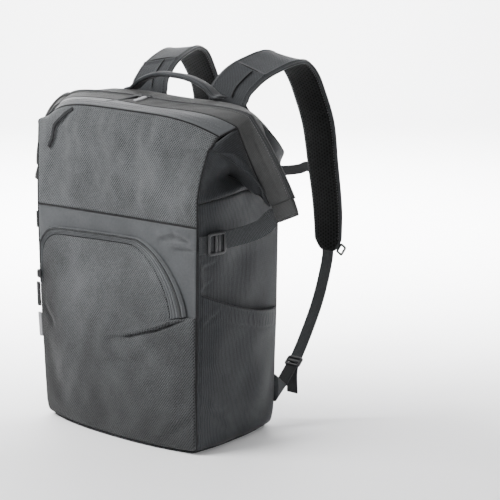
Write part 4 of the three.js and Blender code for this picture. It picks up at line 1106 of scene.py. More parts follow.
def arch_line(inset, count=40):
    """The arch from the left seam up, round its corner, along its crown and down its long fall: a straight
    rise, a quarter circle, a quarter sine and a curve of sines to the power 2 / 1.6."""
    left = -HALF_WIDTH + 3 + inset["left"]
    top = POCKET_SHOULDER - inset["top"]
    shoulder = top - 3
    right = HALF_WIDTH * 0.887 - inset["right"]
    turn = HALF_WIDTH * 0.267 - inset["right"] * 0.4
    radius = POCKET_CORNER - inset["top"] * 0.4
    low = POCKET_END - inset["right"] * 0.25
    t = np.linspace(0, 1, count, endpoint=False)
    angle = t * math.pi / 2
    rise = np.stack([np.full_like(t, left), BAND_LEFT_END + (shoulder - radius - BAND_LEFT_END) * t], -1)
    corner = np.stack([left + radius * (1 - np.cos(angle)), shoulder - radius * (1 - np.sin(angle))], -1)
    crown = np.stack([left + radius + (turn - left - radius) * t, shoulder + 3 * np.sin(angle)], -1)
    angle = np.append(angle, math.pi / 2)
    fall = np.stack([turn + (right - turn) * np.sin(angle) ** 1.25,
                     low + (top - low) * np.maximum(np.cos(angle), 0) ** 1.25], -1)
    return np.vstack([rise, corner, crown, fall])


def along_line(line, cell_size):
    """A line cut into equal lengths of about one cell, and its shares of the whole."""
    length = lengths(line)
    at = np.linspace(0, length[-1], max(int(length[-1] / cell_size), 4) + 1)
    return at_lengths(at, length, line), at


POCKET_CREASES = [
    (0, 144, 46, 155, 2.4, 2.2, 0.5),
    (30, 150, 92, 171, 1.9, 4.4, 0.6),
    (76, 164, 156, 200, 1.8, 5.4, 0.5),
    (-20, 104, 78, 128, 5.5, 1.2, 0.8),
    (84, 10, 158, 61, 7.0, 2.2, 0.7),
    (-140, 172, -114, 140, 4.5, 1.8, 0.6),
    (-134, 130, -103, 31, 13.0, 1.6, 0.2),
]


def pocket_relief(x, z, edge):
    """The slanted dart with its puffed lower lip, the softer folds beside it, and slack all over."""
    place = np.stack([x, z], -1)
    slack = 1.1 * waves(place, 95, 51) + 0.5 * waves(place * [1.2, 0.8], 38, 52)
    drop = creases(x, z, POCKET_CREASES)
    lip = 2.2 * hump(z - (137 + (x - 18) * 0.27), 9) * smooth(-5, 30, x) * smooth(120, 70, x)
    return slack * smooth(0, 30, edge) + (drop + lip) * smooth(0, 7, edge)


def pocket_face():
    """The pocket's face: columns from the floor up to the arch, spread evenly along both, so that the point
    at share t of a column is the blend of its foot and its head."""
    gap = 0.3
    inset = {key: value + gap for key, value in BAND_INSET.items()}
    arch = arch_line(inset)[40:]
    left, right = arch[0], arch[-1]
    last = float(front_edge(np.float64(POCKET_END))) * 0.985
    head = np.vstack([
        [left[0] - 7, BAND_LEFT_END - gap], [left[0] - 0.2, BAND_LEFT_END - gap],
        [left[0], BAND_LEFT_END + 4], arch,
        [right[0] + (last - right[0]) * 0.35, right[1] + (POCKET_END - right[1]) * 0.6 - 1],
        [right[0] + (last - right[0]) * 0.7, POCKET_END - 1.3], [last, POCKET_END - gap]])
    head, at = along_line(head, cell() * 0.9)
    share = at / at[-1]
    reach = (-1 + 2 * share) * 0.988
    t = np.linspace(0, 1, 118)[:, None]
    pull = smooth(0.15, 1.0, t)
    z = FLOOR + (head[None, :, 1] - FLOOR) * t
    x = reach[None] * front_edge(z) * (1 - pull) + head[None, :, 0] * pull
    base = pocket_surface(x, z, 1.6)
    uv = np.stack([x, z], -1)
    side = np.minimum(x + 147, front_edge(z) * 0.988 - x)
    over = np.linalg.norm(np.stack([x - head[None, :, 0], z - head[None, :, 1]], -1), axis=-1)
    edge = np.minimum(np.minimum(side, over), z - FLOOR)
    s = seam()
    lift = pocket_relief(x, z, edge) - rolled(side, s) - rolled(over, s * 1.3) - rolled(z - FLOOR, s)
    base[..., 1] -= lift
    obj = new_object("Front pocket", base.reshape(-1, 3), grid_faces(*x.shape), uv.reshape(-1, 2),
                     textured_cloth())
    return finish_piece(obj, "textured_fabric", "front_pocket", wall=1.2)


# The zip band's section from its inner to its outer edge: share of the width, height in millimetres
BAND_SECTION = np.array([
    [0.0, 0.2], [0.03, 1.5], [0.09, 2.2], [0.14, 2.0], [0.18, 0.9], [0.23, 2.0], [0.33, 2.4], [0.37, 1.0],
    [0.42, 2.1], [0.52, 2.6], [0.57, 1.1], [0.62, 2.3], [0.72, 3.0], [0.77, 1.4], [0.82, 2.6], [0.9, 2.8],
    [0.95, 1.2], [1.0, 0.1]])


def zip_band():
    """The band round the pocket's arch, ruled between the inner and the outer arch, with its own section:
    five ribs with grooves between them, the fourth of them the zip's coil."""
    outer, inner = arch_line(NO_INSET), arch_line(BAND_INSET)
    length = lengths((outer + inner) / 2)
    at = np.linspace(0, length[-1], int(length[-1] / 1.6) + 1)
    outer, inner = at_lengths(at, length, outer), at_lengths(at, length, inner)
    t = np.interp(np.linspace(0, 1, 69), np.linspace(0, 1, len(BAND_SECTION)), BAND_SECTION[:, 0])
    height = np.interp(t, BAND_SECTION[:, 0], BAND_SECTION[:, 1])
    place = inner[:, None] + (outer - inner)[:, None] * t[None, :, None]
    grid = pocket_surface(place[..., 0], place[..., 1], 0.0)
    grid[..., 1] -= height[None] * (0.9 + 0.1 * waves(place, 22, 61))
    width = np.linalg.norm(outer - inner, axis=1)
    uv = np.stack([t[None] * width[:, None], at[:, None] * np.ones_like(t)[None]], -1)
    faces = grid_faces(*grid.shape[:2])[:, ::-1]
    obj = new_object("Pocket zip band", grid.reshape(-1, 3), faces, uv.reshape(-1, 2), smooth_cloth())
    obj.data.materials.append(zip_coil())
    share = np.broadcast_to((t[:-1] + t[1:])[None] / 2, (len(at) - 1, len(t) - 1)).reshape(-1)
    obj.data.polygons.foreach_set("material_index", ((share > 0.59) & (share < 0.76)).astype(np.int32))
    return finish_piece(obj, "webbing", "pocket_zip_band", wall=0.8)


# ---------------------------------------------------------------- side pockets

SIDE_LIMITS = (HALF_DEPTH * 0.94, HALF_DEPTH * 0.92)


def side_pocket_mouth(y):
    """The side pocket's mouth: a height that rises towards the front as a power of 1.7."""
    front, back = SIDE_LIMITS
    return 177 + 46 * np.maximum((back - y) / (back + front), 0) ** 1.7


def side_pocket(letter, hand):
    """A side pocket: a wall that stands off the side by 9 mm at its mouth, with a gathered hem.
    Columns run from the floor to the mouth; the wall's slack is full in the middle and none at the seams."""
    front, back = SIDE_LIMITS
    y, t = np.meshgrid(np.linspace(-front, back, 70), np.linspace(0, 1, 78))
    mouth = side_pocket_mouth(y)
    z = FLOOR + (mouth - FLOOR) * t
    narrow = np.minimum(1, y_of(rows_at(wall_level(z))["cornerY"]) / y_of(WALL_ROWS[3][3]))
    full = 1 - np.abs(2 * (y + front) / (front + back) - 1) ** 2.5
    out = side_x(y * narrow, z) + LAY + 1.6 + 9 * smooth(FLOOR, mouth, z) * full
    below = mouth - z
    side = np.minimum(y + front, back - y)
    place = np.stack([y, z], -1)
    hem = hump(below - 25, 1.5)
    roll = 0.9 * hump(below, 3.0)
    drawn = smooth(26, 20, below) * smooth(0, 5, below)
    gather = np.cos(2 * math.pi * (y + 3 * waves(place, 30, 71 + hand)) / 6.5) * drawn
    folds = creases(y, z, [(-86, 72, -30, 28, 5, 1.5, 0.8), (-70, 64, -36, 50, 4, 1.0, 0.8),
                           (-80, 178, -52, 198, 3, 1.2, 0.9), (-76, 120, -40, 100, 6, 0.9, 0.6)])
    slack = waves(place * [1, 0.8], 60, 73 + hand) * smooth(0, 22, side) * smooth(20, 45, below)
    lift = folds + slack * 1.3 + gather * 0.28 + roll - 1.3 * hem
    out = out + lift * smooth(0, 6, side) - rolled(side, seam()) - rolled(z - FLOOR, seam())
    grid = np.stack([out * hand, y * narrow, z], -1)
    uv = np.stack([y, z], -1)
    if hand < 0:
        grid, uv = grid[:, ::-1], uv[:, ::-1]
    obj = new_object("Side pocket " + letter, grid.reshape(-1, 3), grid_faces(*y.shape), uv.reshape(-1, 2),
                     side_cloth())
    return finish_piece(obj, "dark_fabric", "side_pocket_" + letter, wall=1.6)


# ---------------------------------------------------------------- zips, sliders and grips


def rim_line(count=500):
    """The top edge of the bag from the left ear's tip to the right one's, at y = 0, evenly cut."""
    q = np.linspace(LEFT_TURN - ROUND, RIGHT_FOLD, 3000)
    line = body(np.full_like(q, RIM), q)
    line[:, 1] = 0
    line, at = along_line(line, 650 / count)
    return line, at


def main_zip():
    """The zip along the top: a ribbon whose section is tape, groove, coil, groove, tape."""
    line, at = rim_line()
    along = np.gradient(line, axis=0)
    along /= np.linalg.norm(along, axis=1, keepdims=True)
    out = np.stack([-along[:, 2], 0 * at, along[:, 0]], -1)
    across_ = np.linspace(-1, 1, 23)
    coil = np.sqrt(np.maximum(1 - (across_ / 0.52) ** 2, 0))
    height = -0.9 + 2.3 * coil + 0.8 * smooth(0.6, 0.8, np.abs(across_)) - 1.6 * smooth(0.85, 1.0,
                                                                                        np.abs(across_))
    grid = line[:, None] + out[:, None] * height[None, :, None]
    grid[..., 1] += across_[None] * -4.2
    uv = np.stack([across_[None] * 4.2 * np.ones_like(at)[:, None], at[:, None] * np.ones_like(across_)[None]],
                  -1)
    faces = grid_faces(*grid.shape[:2])
    obj = new_object("Main zip", grid.reshape(-1, 3), faces[:, ::-1], uv.reshape(-1, 2), zip_coil())
    return finish_piece(obj, "webbing", "main_zip", wall=0.8)


def moved(points, at, along, out):
    """Points given as (x along, y sideways, z out) put at a place with those directions."""
    x = np.asarray(along, float) / np.linalg.norm(along)
    z = np.asarray(out, float) - np.dot(out, x) * x
    z /= np.linalg.norm(z)
    return np.asarray(at, float) + points @ np.stack([x, np.cross(z, x), z])


def cushion_grid(length, width, thickness, n, m, power=4.0, crown=0.0):
    """A rounded bar: rings along its length, each |a|^p + |b|^p = 1, shrinking at the ends as a circle does."""
    t = np.linspace(-1, 1, n)
    t = np.sin(t * math.pi / 2)
    size = np.maximum(1 - np.abs(t) ** power, 1e-4) ** (1 / power)
    angle = np.linspace(0, 2 * math.pi, m, endpoint=False)
    a, b = blunt(np.cos(angle), 2 / power), blunt(np.sin(angle), 2 / power)
    x = t[:, None] * length / 2 * np.ones_like(a)
    y = size[:, None] * a * width / 2
    z = size[:, None] * b * thickness / 2 + crown * (1 - t[:, None] ** 2) * (b > 0)
    return np.stack([x, y, z], -1)


def rounded_bar(name, at, along, out, length, width, thickness, mat, power=5.0, crown=0.0):
    grid = cushion_grid(length, width, thickness, 25, 28, power, crown)
    points = moved(grid.reshape(-1, 3), at, along, out)
    return new_object(name, points, closed_faces(25, 28), grid.reshape(-1, 3)[:, [1, 0]], mat)


def slider(name, node, at, along, out):
    """A zip slider: a flat rounded body with a bridge over it, for the grip."""
    at, out = np.asarray(at, float), np.asarray(out, float)
    seat = at + out * 2.3
    low = rounded_bar(name, seat, along, out, 13, 8, 3.6, plastic(), 3.5, 0.4)
    high = rounded_bar(name + " bridge", seat + out * 1.9, along, out, 9.5, 3.0, 2.0, plastic(), 3.0, 0.6)
    return finish_piece(join(name, [low, high]), "moulded_plastic", node)


def grip(name, node, points, side, slot, mat, width=6.0, thickness=2.4, round_to=4.0, count=34):
    """A slider's grip: a flat band with rounded ends along a few points."""
    return finish_piece(band(name, path_through(points, count), side, width, thickness, mat, round_to, 20),
                        slot, node)


def zip_grips():
    """The two sliders where the main zip meets: the left one's grip is cloth, the right one's moulded."""
    rim = lambda x: float(across(np.float64(RIM), x / x_of(rows_at(np.float64(RIM))["cornerX"]), -1)[2])
    for name, hand in (("left", -1), ("right", 1)):
        x = -20 + hand * 8.0
        slider("Zip slider " + name, "zip_slider_" + name, (x, 0, rim(x) + 0.6), (1, 0, 0), (0, 0, 1))
    for name, hand, reach, spread in (("left", -1, 42, 22), ("right", 1, 18, 6)):
        start = -20 + hand * 8.0
        points = []
        for share, rise in ((0, 3.2), (0.18, 2.6), (0.4, 1.6), (0.7, 0.8), (1, 0.5)):
            x, y = start - spread * share, -4 - 2.4 - reach * share
            points.append((x, y, float(top_z(x, y)) + 1.5 + rise))
        cloth_grip = name == "left"
        grip("Zip grip " + name, "zip_pull_" + name, points, (1, 0, 0),
             "webbing" if cloth_grip else "moulded_plastic", webbing_cloth() if cloth_grip else light_plastic(),
             9.0 if cloth_grip else 8.5, 2.8)


def front_grips():
    """The long grip under the top's front seam, and the pocket zip's slider with its two grips."""
    points = []
    for sideways, level in ((0, 1.925), (-0.1, 1.86), (-0.19, 1.76), (-0.23, 1.64), (-0.27, 1.55)):
        x, z = HALF_WIDTH * (sideways - 0.59), float(z_of(level))
        points.append((x, float(upper_y(x, z)) - 2.7, z))
    grip("Long grip", "upper_pull", points, (1, 0, 0), "webbing",
         webbing_cloth("dark tape", colours().plastic), 5.2, 2.0, 5.0, 60)
    x, z = -HALF_WIDTH + 6.5, BAND_LEFT_END + 13
    seat = pocket_surface(np.array([x]), np.array([z]), BAND_THICKNESS)[0]
    slider("Pocket slider", "pocket_slider", seat, (0, 0, 1), (0, -1, 0))
    for name, node, start, end, slot, mat in (
            ("Pocket grip upper", "pocket_pull_upper", 1, 37, "webbing", webbing_cloth()),
            ("Pocket grip lower", "pocket_pull_lower", 46, 82, "moulded_plastic", light_plastic())):
        heights = BAND_LEFT_END - np.linspace(start, end, 4)
        points = [(-float(front_edge(z)) - 3.6, float(front_y(np.float64(-HALF_WIDTH), z)) - 1.0,
                   z) for z in heights]
        grip(name, node, points, (1, 0, 0), slot, mat, 6.5, 2.6)


# ---------------------------------------------------------------- ears, side straps and their buckles

RIM_V, CROWN_V, ONE = np.float64(RIM), np.float64(CROWN), np.float64(1)
EAR_LOW = round_side(CROWN_V, ONE, 1, -1)
EAR_HIGH = round_side(RIM_V, ONE, 1, -1)
EAR_WAY = (EAR_HIGH - EAR_LOW) * [1, 0, 1]
EAR_WIDTH = float(np.linalg.norm(EAR_WAY))
EAR_WAY = EAR_WAY / EAR_WIDTH
EAR_OUT = np.array([EAR_WAY[2], 0, -EAR_WAY[0]])
TAB_LENGTH = 26.0
TAB_SEAM = 0.72
SIDE_WEBBING = 24.0
STRAP_HEIGHT = 290.0
STRAP_OFF = LAY + 1.6
BUCKLE_PLACE = -HALF_DEPTH * 0.66


def tab_middle():
    """The middle of the ear's tab, which starts 3 mm inside the ear's end."""
    return (EAR_LOW + EAR_HIGH) / 2 * [1, 0, 1] + EAR_OUT * (TAB_LENGTH / 2 - 3)


def mirrored(points, hand):
    """Points as they are for the right, and mirrored for the left."""
    return np.asarray(points, float) * [hand, 1, 1]


def turned(side, hand):
    """A side direction for the mirrored strap, so that its outer face stays its outer face."""
    side = np.asarray(side, float)
    return side if hand > 0 else side * [1, -1, -1]


def wall_frame(y, z):
    """Down along the leaning side wall, and straight out of it."""
    down = np.array([float(side_x(np.float64(y), z - 12)) - float(side_x(np.float64(y), z + 12)), 0, -24.0])
    out = np.array([-down[2], 0, down[0]])
    return down, out / np.linalg.norm(out)


def on_wall(y, z, off):
    """A place off the right side wall, straight out of it."""
    _, out = wall_frame(y, z)
    return np.array([float(side_x(np.float64(y), z)), y, z]) + out * off


def ear_tab(letter, hand):
    """The stitched bar across an ear's end: a rounded band from the facing's edge up to the zip, its long
    edges pressed flat along a line of stitches."""
    middle = tab_middle()
    reach = EAR_WIDTH / 2
    path = np.stack([middle + EAR_WAY * d for d in np.linspace(-reach, reach, 30)])
    press = lambda l, a, b: -0.9 * hump(np.abs(a) - TAB_SEAM, 0.09) * np.sign(b) * (np.abs(b) > 0.5)
    obj = band("Ear tab " + letter, mirrored(path, hand), turned(EAR_OUT, hand) * [hand, 1, hand], TAB_LENGTH,
               8.0,
               facing_cloth(), 3.6, 48, press, 3.0)
    return finish_piece(obj, "dark_fabric", "ear_tab_" + letter)


def side_strap_path():
    """The side strap's middle line: from the ear's foot hanging down to the wall, then along it to the seam."""
    foot = (EAR_LOW + EAR_OUT * 14) * [1, 0, 1]
    z = STRAP_HEIGHT
    low = on_wall(-HALF_DEPTH * 0.4, z + 2, STRAP_OFF + 1)
    hang = lambda share, out, forward, drop: foot + (low - foot) * share + [out, forward, -drop]
    return path_through([
        foot - EAR_WAY * 0.3, foot - EAR_WAY * 7, hang(0.38, 4, 7, 3), hang(0.68, 3, 7, 3), low,
        on_wall(-HALF_DEPTH * 0.6, z, STRAP_OFF), on_wall(-HALF_DEPTH * 0.78, z, STRAP_OFF),
        on_wall(-HALF_DEPTH * 0.94, z, STRAP_OFF), on_wall(-HALF_DEPTH, z, STRAP_OFF + 1.5)], 90)


def side_strap(letter, hand):
    """The webbing from the ear's tab down and forward to the front seam, turning as it goes."""
    path = side_strap_path()
    down, _ = wall_frame(BUCKLE_PLACE, STRAP_HEIGHT)
    t = np.linspace(0, 1, len(path))[:, None]
    side = EAR_OUT * (1 - t) + down / np.linalg.norm(down) * t
    if hand < 0:
        side = -mirrored(side, -1)
    obj = band("Side strap " + letter, mirrored(path, hand), side, SIDE_WEBBING, 1.7,
               webbing_cloth("side webbing", colours().smooth), 8.0, 24,
               edge_ridge, 1.2)
    return finish_piece(obj, "webbing", "side_strap_" + letter)


def edge_ridge(length, a, b):
    """Webbing's edges stand a little above its face."""
    return 0.22 * hump(np.abs(a) - 0.9, 0.05) * np.sign(b)


def bar_ring(name, length, width, bar, thickness, mat, cross_bars=(0.0,)):
    """A moulded frame lying flat, x along and y across: a round-cornered loop of one rounded bar, and bars
    across it. The loop's middle line is |x|^n + |y|^n = 1, its section |a|^m + |b|^m = 1."""
    turn = np.linspace(0, 2 * math.pi, 96, endpoint=False)
    x = blunt(np.cos(turn), 2 / 9) * (length - bar) / 2
    y = blunt(np.sin(turn), 2 / 9) * (width - bar) / 2
    line = np.stack([x, y, 0 * x], -1)
    along = np.roll(line, -1, 0) - np.roll(line, 1, 0)
    along /= np.linalg.norm(along, axis=1, keepdims=True)
    side = np.stack([along[:, 1], -along[:, 0], 0 * x], -1)
    ring = np.linspace(0, 2 * math.pi, 16, endpoint=False)
    a = blunt(np.cos(ring), 2 / 3) * bar / 2
    b = blunt(np.sin(ring), 2 / 3) * thickness / 2
    grid = line[:, None] + side[:, None] * a[None, :, None]
    grid[..., 2] += b[None]
    grid = np.concatenate([grid, grid[:1]])
    pieces = [(grid.reshape(-1, 3), grid_faces(97, 16, closed=True)[:, ::-1].tolist())]
    for middle in cross_bars:
        cross = cushion_grid(width - bar * 0.6, bar, thickness * 0.86, 15, 16, 4.0)
        cross = np.stack([cross[..., 1] + middle, -cross[..., 0], cross[..., 2]], -1)
        pieces.append((cross.reshape(-1, 3), closed_faces(15, 16)))
    points, faces, start = [], [], 0
    for part, some in pieces:
        points.append(part)
        faces += [[k + start for k in face] for face in some]
        start += len(part)
    return name, np.vstack(points), faces, mat


def lay_frame(made, at, along, out, hand, slot, node):
    """A moulded frame put in its place, and mirrored for the left."""
    name, points, faces, mat = made
    placed = moved(points, at, along, out)
    if hand < 0:
        placed = mirrored(placed, -1)
        faces = [face[::-1] for face in faces]
    obj = new_object(name, placed, faces, points[:, :2], mat)
    weld(obj)
    return finish_piece(obj, slot, node)


def weld(obj, distance=1e-6):
    """Merges points that lie in one place."""
    mesh = bmesh.new()
    mesh.from_mesh(obj.data)
    bmesh.ops.remove_doubles(mesh, verts=mesh.verts, dist=distance)
    mesh.to_mesh(obj.data)
    mesh.free()


def side_buckle(letter, hand):
    """The flat buckle of the side strap, with three bars."""
    y = BUCKLE_PLACE
    off = STRAP_OFF + 0.8 + LAY + 1.5
    along = on_wall(y + 17, STRAP_HEIGHT, off) - on_wall(y - 17, STRAP_HEIGHT, off)
    _, out = wall_frame(y, STRAP_HEIGHT)
    made = bar_ring("Side buckle " + letter, 34.0, 31.0, 4.4, 3.4, plastic(), (-1.5, 4.0))
    return lay_frame(made, on_wall(y, STRAP_HEIGHT, off), along, out, hand, "moulded_plastic",
                     "side_buckle_" + letter)


# ---------------------------------------------------------------- shoulder straps

STRAP_ROWS = np.array([
    # splay, reach, height, width, roll
    [0.0, 0.02, 0.721, 1.0, 0.1], [0.0, 0.0, 0.783, 1.0, 0.12], [0.037, 0.035, 0.85, 1.0, 0.2],
    [0.096, 0.13, 0.903, 1.0, 0.24], [0.16, 0.22, 0.938, 1.0, 0.24], [0.266, 0.38, 0.975, 1.0, 0.23],
    [0.352, 0.56, 1.0, 1.0, 0.22], [0.405, 0.69, 0.987, 1.0, 0.16], [0.458, 0.81, 0.916, 1.0, 0.05],
    [0.49, 0.92, 0.783, 1.0, 0.0], [0.6, 0.975, 0.651, 0.98, 0.0], [0.725, 0.99, 0.46, 0.92, 0.0],
    [0.92, 0.985, 0.22, 0.87, 0.0], [1.0, 0.965, 0.059, 0.8, 0.0], [1.0, 0.96, 0.0, 0.45, 0.0]])
STRAP_WIDTH = 61.0
STRAP_THICKNESS = 11.0
STRAP_SPACING = 74.0
STRAP_SPLAY = 53.5
STRAP_REACH = 171.0
STRAP_TOP = 516.0
STRAP_DROP = 287.0
STRAP_WIDER = 0.15
STRAP_SWAY = 5.0
STRAP_ROUND = 2.6
STRAP_PADDING = STRAP_THICKNESS * 0.78
CHANNEL = 0.83
SEAM_ACROSS = 88.0
SEAM_ALONG = (32.0, 87.0)
SEAM_ASIDE = 0.25
MESH_BREAK = 268.0


def strap_line(cell_size=2.6):
    """The strap's middle line with its widths and rolls, evenly cut and kept off the bag's back."""
    off = STRAP_THICKNESS * 0.53 + LAY
    seat = float(across(np.float64(BROW), np.float64(0), 1)[1]) + off
    splay, reach, height = STRAP_ROWS[:, :3].T
    points = np.stack([STRAP_SPACING + splay * STRAP_SPLAY, seat + reach * STRAP_REACH,
                       STRAP_TOP - STRAP_DROP * (1 - height)], -1)
    fine, place = curve_through(points)
    dip = STRAP_WIDTH * 0.06
    backs = [back_y(s * (fine[:, 0] + e * STRAP_WIDTH / 2), fine[:, 2] - dip) for s in (1, -1) for e in (1, -1)]
    fine[:, 1] = np.maximum(fine[:, 1], np.max(backs, axis=0) + off)
    rows = np.arange(len(STRAP_ROWS))
    more = np.stack([np.interp(place, rows, STRAP_ROWS[:, 3]), np.interp(place, rows, STRAP_ROWS[:, 4])], -1)
    length = lengths(fine)
    at = np.linspace(0, length[-1], int(length[-1] / cell_size) + 1)
    line, more = at_lengths(at, length, fine), at_lengths(at, length, more)
    side = np.stack([np.ones_like(at), 0 * at, -more[:, 1]], -1)
    wider = 1 + STRAP_WIDER * smooth(0.5, 0.3, at / at[-1])
    return line, side, more[:, 0] * STRAP_WIDTH * wider, at


def strap_pose(hand):
    """One strap's line, side, width and length. Both lean to the left over the shoulder by 5 mm at most, and
    the left one rolls out less: its inner edge stays and its outer edge lies higher."""
    line, side, width, at = strap_line()
    share = at / at[-1]
    side = side.copy()
    if hand < 0:
        line = line + np.stack([0 * share, 0 * share, -0.55 * side[:, 2] * width / 2], -1)
        side[:, 2] *= 0.45
    sway = -STRAP_SWAY * smooth(0.0, 0.12, share) * smooth(0.55, 0.3, share)
    place = mirrored(line, hand) + np.stack([sway, 0 * sway, 0 * sway], -1)
    return place, side if hand > 0 else -mirrored(side, -1), width, at


def strap_lift(length, a, b):
    """The strap's skin over its foam: crowned in the middle, with a bound edge and a sewn channel inside it,
    and on the outer face a seam across and one along."""
    outer = b < 0
    sign = np.sign(b)
    inside = np.abs(a) < CHANNEL
    bead = hump(np.abs(a) - 0.93, 0.05)
    channel = -1.5 * hump(np.abs(a) - CHANNEL, 0.035)
    crown = 1.6 * (1 - np.abs(a / CHANNEL) ** 2.5) * inside
    cross = -2.8 * hump(length - SEAM_ACROSS, 2.6) * outer * inside
    low, high = SEAM_ALONG
    middle = -2.4 * hump(a - SEAM_ASIDE, 0.05) * outer * smooth(low - 2, low + 4, length) * smooth(high,
                                                                                                   high - 3,
                                                                                                   length)
    break_ = -2.0 * hump(length - MESH_BREAK, 3.0) * (b > 0) * inside
    return (bead + channel + crown + cross + middle + break_) * sign * (np.abs(b) > 0.2)


def shoulder_strap(letter, hand):
    """A padded strap: section |a|^2.6 + |b|^2.6 = 1, cloth outside, mesh inside, tape at its edges."""
    line, side, width, at = strap_pose(hand)
    ring = 84
    obj = band("Shoulder strap " + letter, line, side, width, STRAP_PADDING, air_mesh(), STRAP_ROUND, ring,
               strap_lift, 7.0)
    obj.data.materials.append(strap_cloth())
    obj.data.materials.append(binding_cloth())
    angle = (np.arange(ring) + 0.5) * 2 * math.pi / ring
    a = blunt(np.cos(angle), 2 / STRAP_ROUND)
    kind = np.where(np.abs(a) > 0.85, 2, np.where(np.sin(angle) < 0, 1, 0))
    index = np.concatenate([np.tile(kind, len(at) - 1), [2, 2]]).astype(np.int32)
    obj.data.polygons.foreach_set("material_index", index)
    return finish_piece(obj, "air_mesh", "shoulder_strap_" + letter)


# ---------------------------------------------------------------- webbing and hardware below the straps

WING_X = HALF_WIDTH * 0.93
WING_HEIGHT = 55.0
WING_HALF = 20.0
WING_TIP = np.array([WING_X, float(back_y(WING_X, WING_HEIGHT)) + LAY + 19, WING_HEIGHT])
LOWER_RUN = np.array([0, 30.0, 27.0])
LOCK = WING_TIP + LOWER_RUN
LOCK_ALONG = LOWER_RUN / np.linalg.norm(LOWER_RUN)
LOCK_OUT = np.array([0, -LOCK_ALONG[2], LOCK_ALONG[1]])
LOCK_LENGTH = 17.0


def ribbon(name, node, points, count, width, side, hand, thickness=1.7, mat=None):
    """Webbing along a few points, mirrored for the left."""
    path = mirrored(path_through(points, count), hand)
    side = np.asarray(side, float) if hand > 0 else -mirrored(side, -1)
    return finish_piece(band(name, path, side, width, thickness, mat or webbing_cloth(), 8.0, 24, edge_ridge,
                             1.0),
                        "webbing", node)


def strap_hardware(letter, hand):
    """Webbing from the strap's end through the ladder lock, its tail, the lower webbing and the wing."""
    line, _, _, _ = strap_line()
    start = line[-1] + [0, 0, 3.0]
    end = LOCK + LOCK_ALONG * 0.5
    sag = start + (end - start) * 0.45 + [0, 12, -6]
    ribbon("Strap webbing " + letter, "strap_webbing_" + letter,
           [start, start - [0, 0, 11], sag, end + LOCK_ALONG * 9, end], 90, 20, (1, 0, 0), hand,
           mat=webbing_cloth("grey webbing", colours().smooth))
    made = bar_ring("Ladder lock " + letter, LOCK_LENGTH, 27.0, 4.6, 3.8, plastic(), (0.0,))
    lay_frame(made, LOCK, LOCK_ALONG, LOCK_OUT, hand, "moulded_plastic", "ladder_lock_" + letter)
    from_ = LOCK - LOCK_OUT * 2.9 + LOCK_ALONG * 4
    bend = from_ - LOCK_ALONG * 8
    ribbon("Webbing tail " + letter, "webbing_tail_" + letter,
           [from_, bend, bend + [0, -3, -12], bend + [0, -2, -42]], 50, 19, (1, 0, 0), hand)
    ribbon("Lower webbing " + letter, "lower_webbing_" + letter,
           [WING_TIP - LOCK_ALONG * 2, WING_TIP + LOWER_RUN * 0.5, LOCK - LOCK_ALONG * (LOCK_LENGTH / 2 - 2.5)],
           40, 20, (1, 0, 0), hand)
    strap_wing(letter, hand)


def strap_wing(letter, hand):
    """The cloth wing that holds the lower webbing: its section tapers from the back seam to its tip. At share
    t of its reach it is as tall and as thick as the straight lines from its foot to its tip give."""
    t = np.linspace(0, 1, 22)
    angle = np.linspace(0, 2 * math.pi, 40, endpoint=False)
    a, b = blunt(np.cos(angle), 0.35), blunt(np.sin(angle), 0.35)
    tall = (WING_HALF * (1 - t) + 2.4 * t)[:, None]
    height = WING_HEIGHT + a * tall
    foot = back_y(np.full_like(height, WING_X), height) - 1.0
    y = foot + (WING_TIP[1] - foot) * t[:, None]
    thick = 10 * (1 - 0.1 * t[:, None]) + 0.6 * np.cos(a * 3.2) * (1 - t[:, None])
    x = WING_X - b * thick
    grid = np.stack([x * hand, y, height * np.ones_like(x)], -1)
    uv = np.stack([y, height], -1)
    faces = closed_faces(22, 40)
    if hand < 0:
        faces = [face[::-1] for face in faces]
    obj = new_object("Strap wing " + letter, grid.reshape(-1, 3), faces, uv.reshape(-1, 2), side_cloth())
    return finish_piece(obj, "dark_fabric", "strap_wing_" + letter)


LOOP_TOP = 245.9
LOOP_OFF = 6.6


def strap_loop(letter, hand):
    """The small loop at the strap's lower outer corner, along the edge that slants in to its end."""
    line, _, width, at = strap_line()
    k = int(np.argmin(np.abs(line[:, 2] - LOOP_TOP) + 1000 * (at < at[-1] * 0.6)))
    above, below = (np.array([line[i, 0] + width[i] / 2, line[i, 1], line[i, 2]]) for i in (k, -1))
    along = (above - below) * [1, 0, 1] / np.linalg.norm((above - below) * [1, 0, 1])
    place = (above + below) / 2 + np.array([along[2], 0, -along[0]]) * LOOP_OFF
    made = bar_ring("Strap loop " + letter, 17.0, 12.5, 3.4, 3.0, plastic(), ())
    return lay_frame(made, place, along, (0, -1, 0), hand, "moulded_plastic", "strap_loop_" + letter)


# ---------------------------------------------------------------- chest strap and grab handle


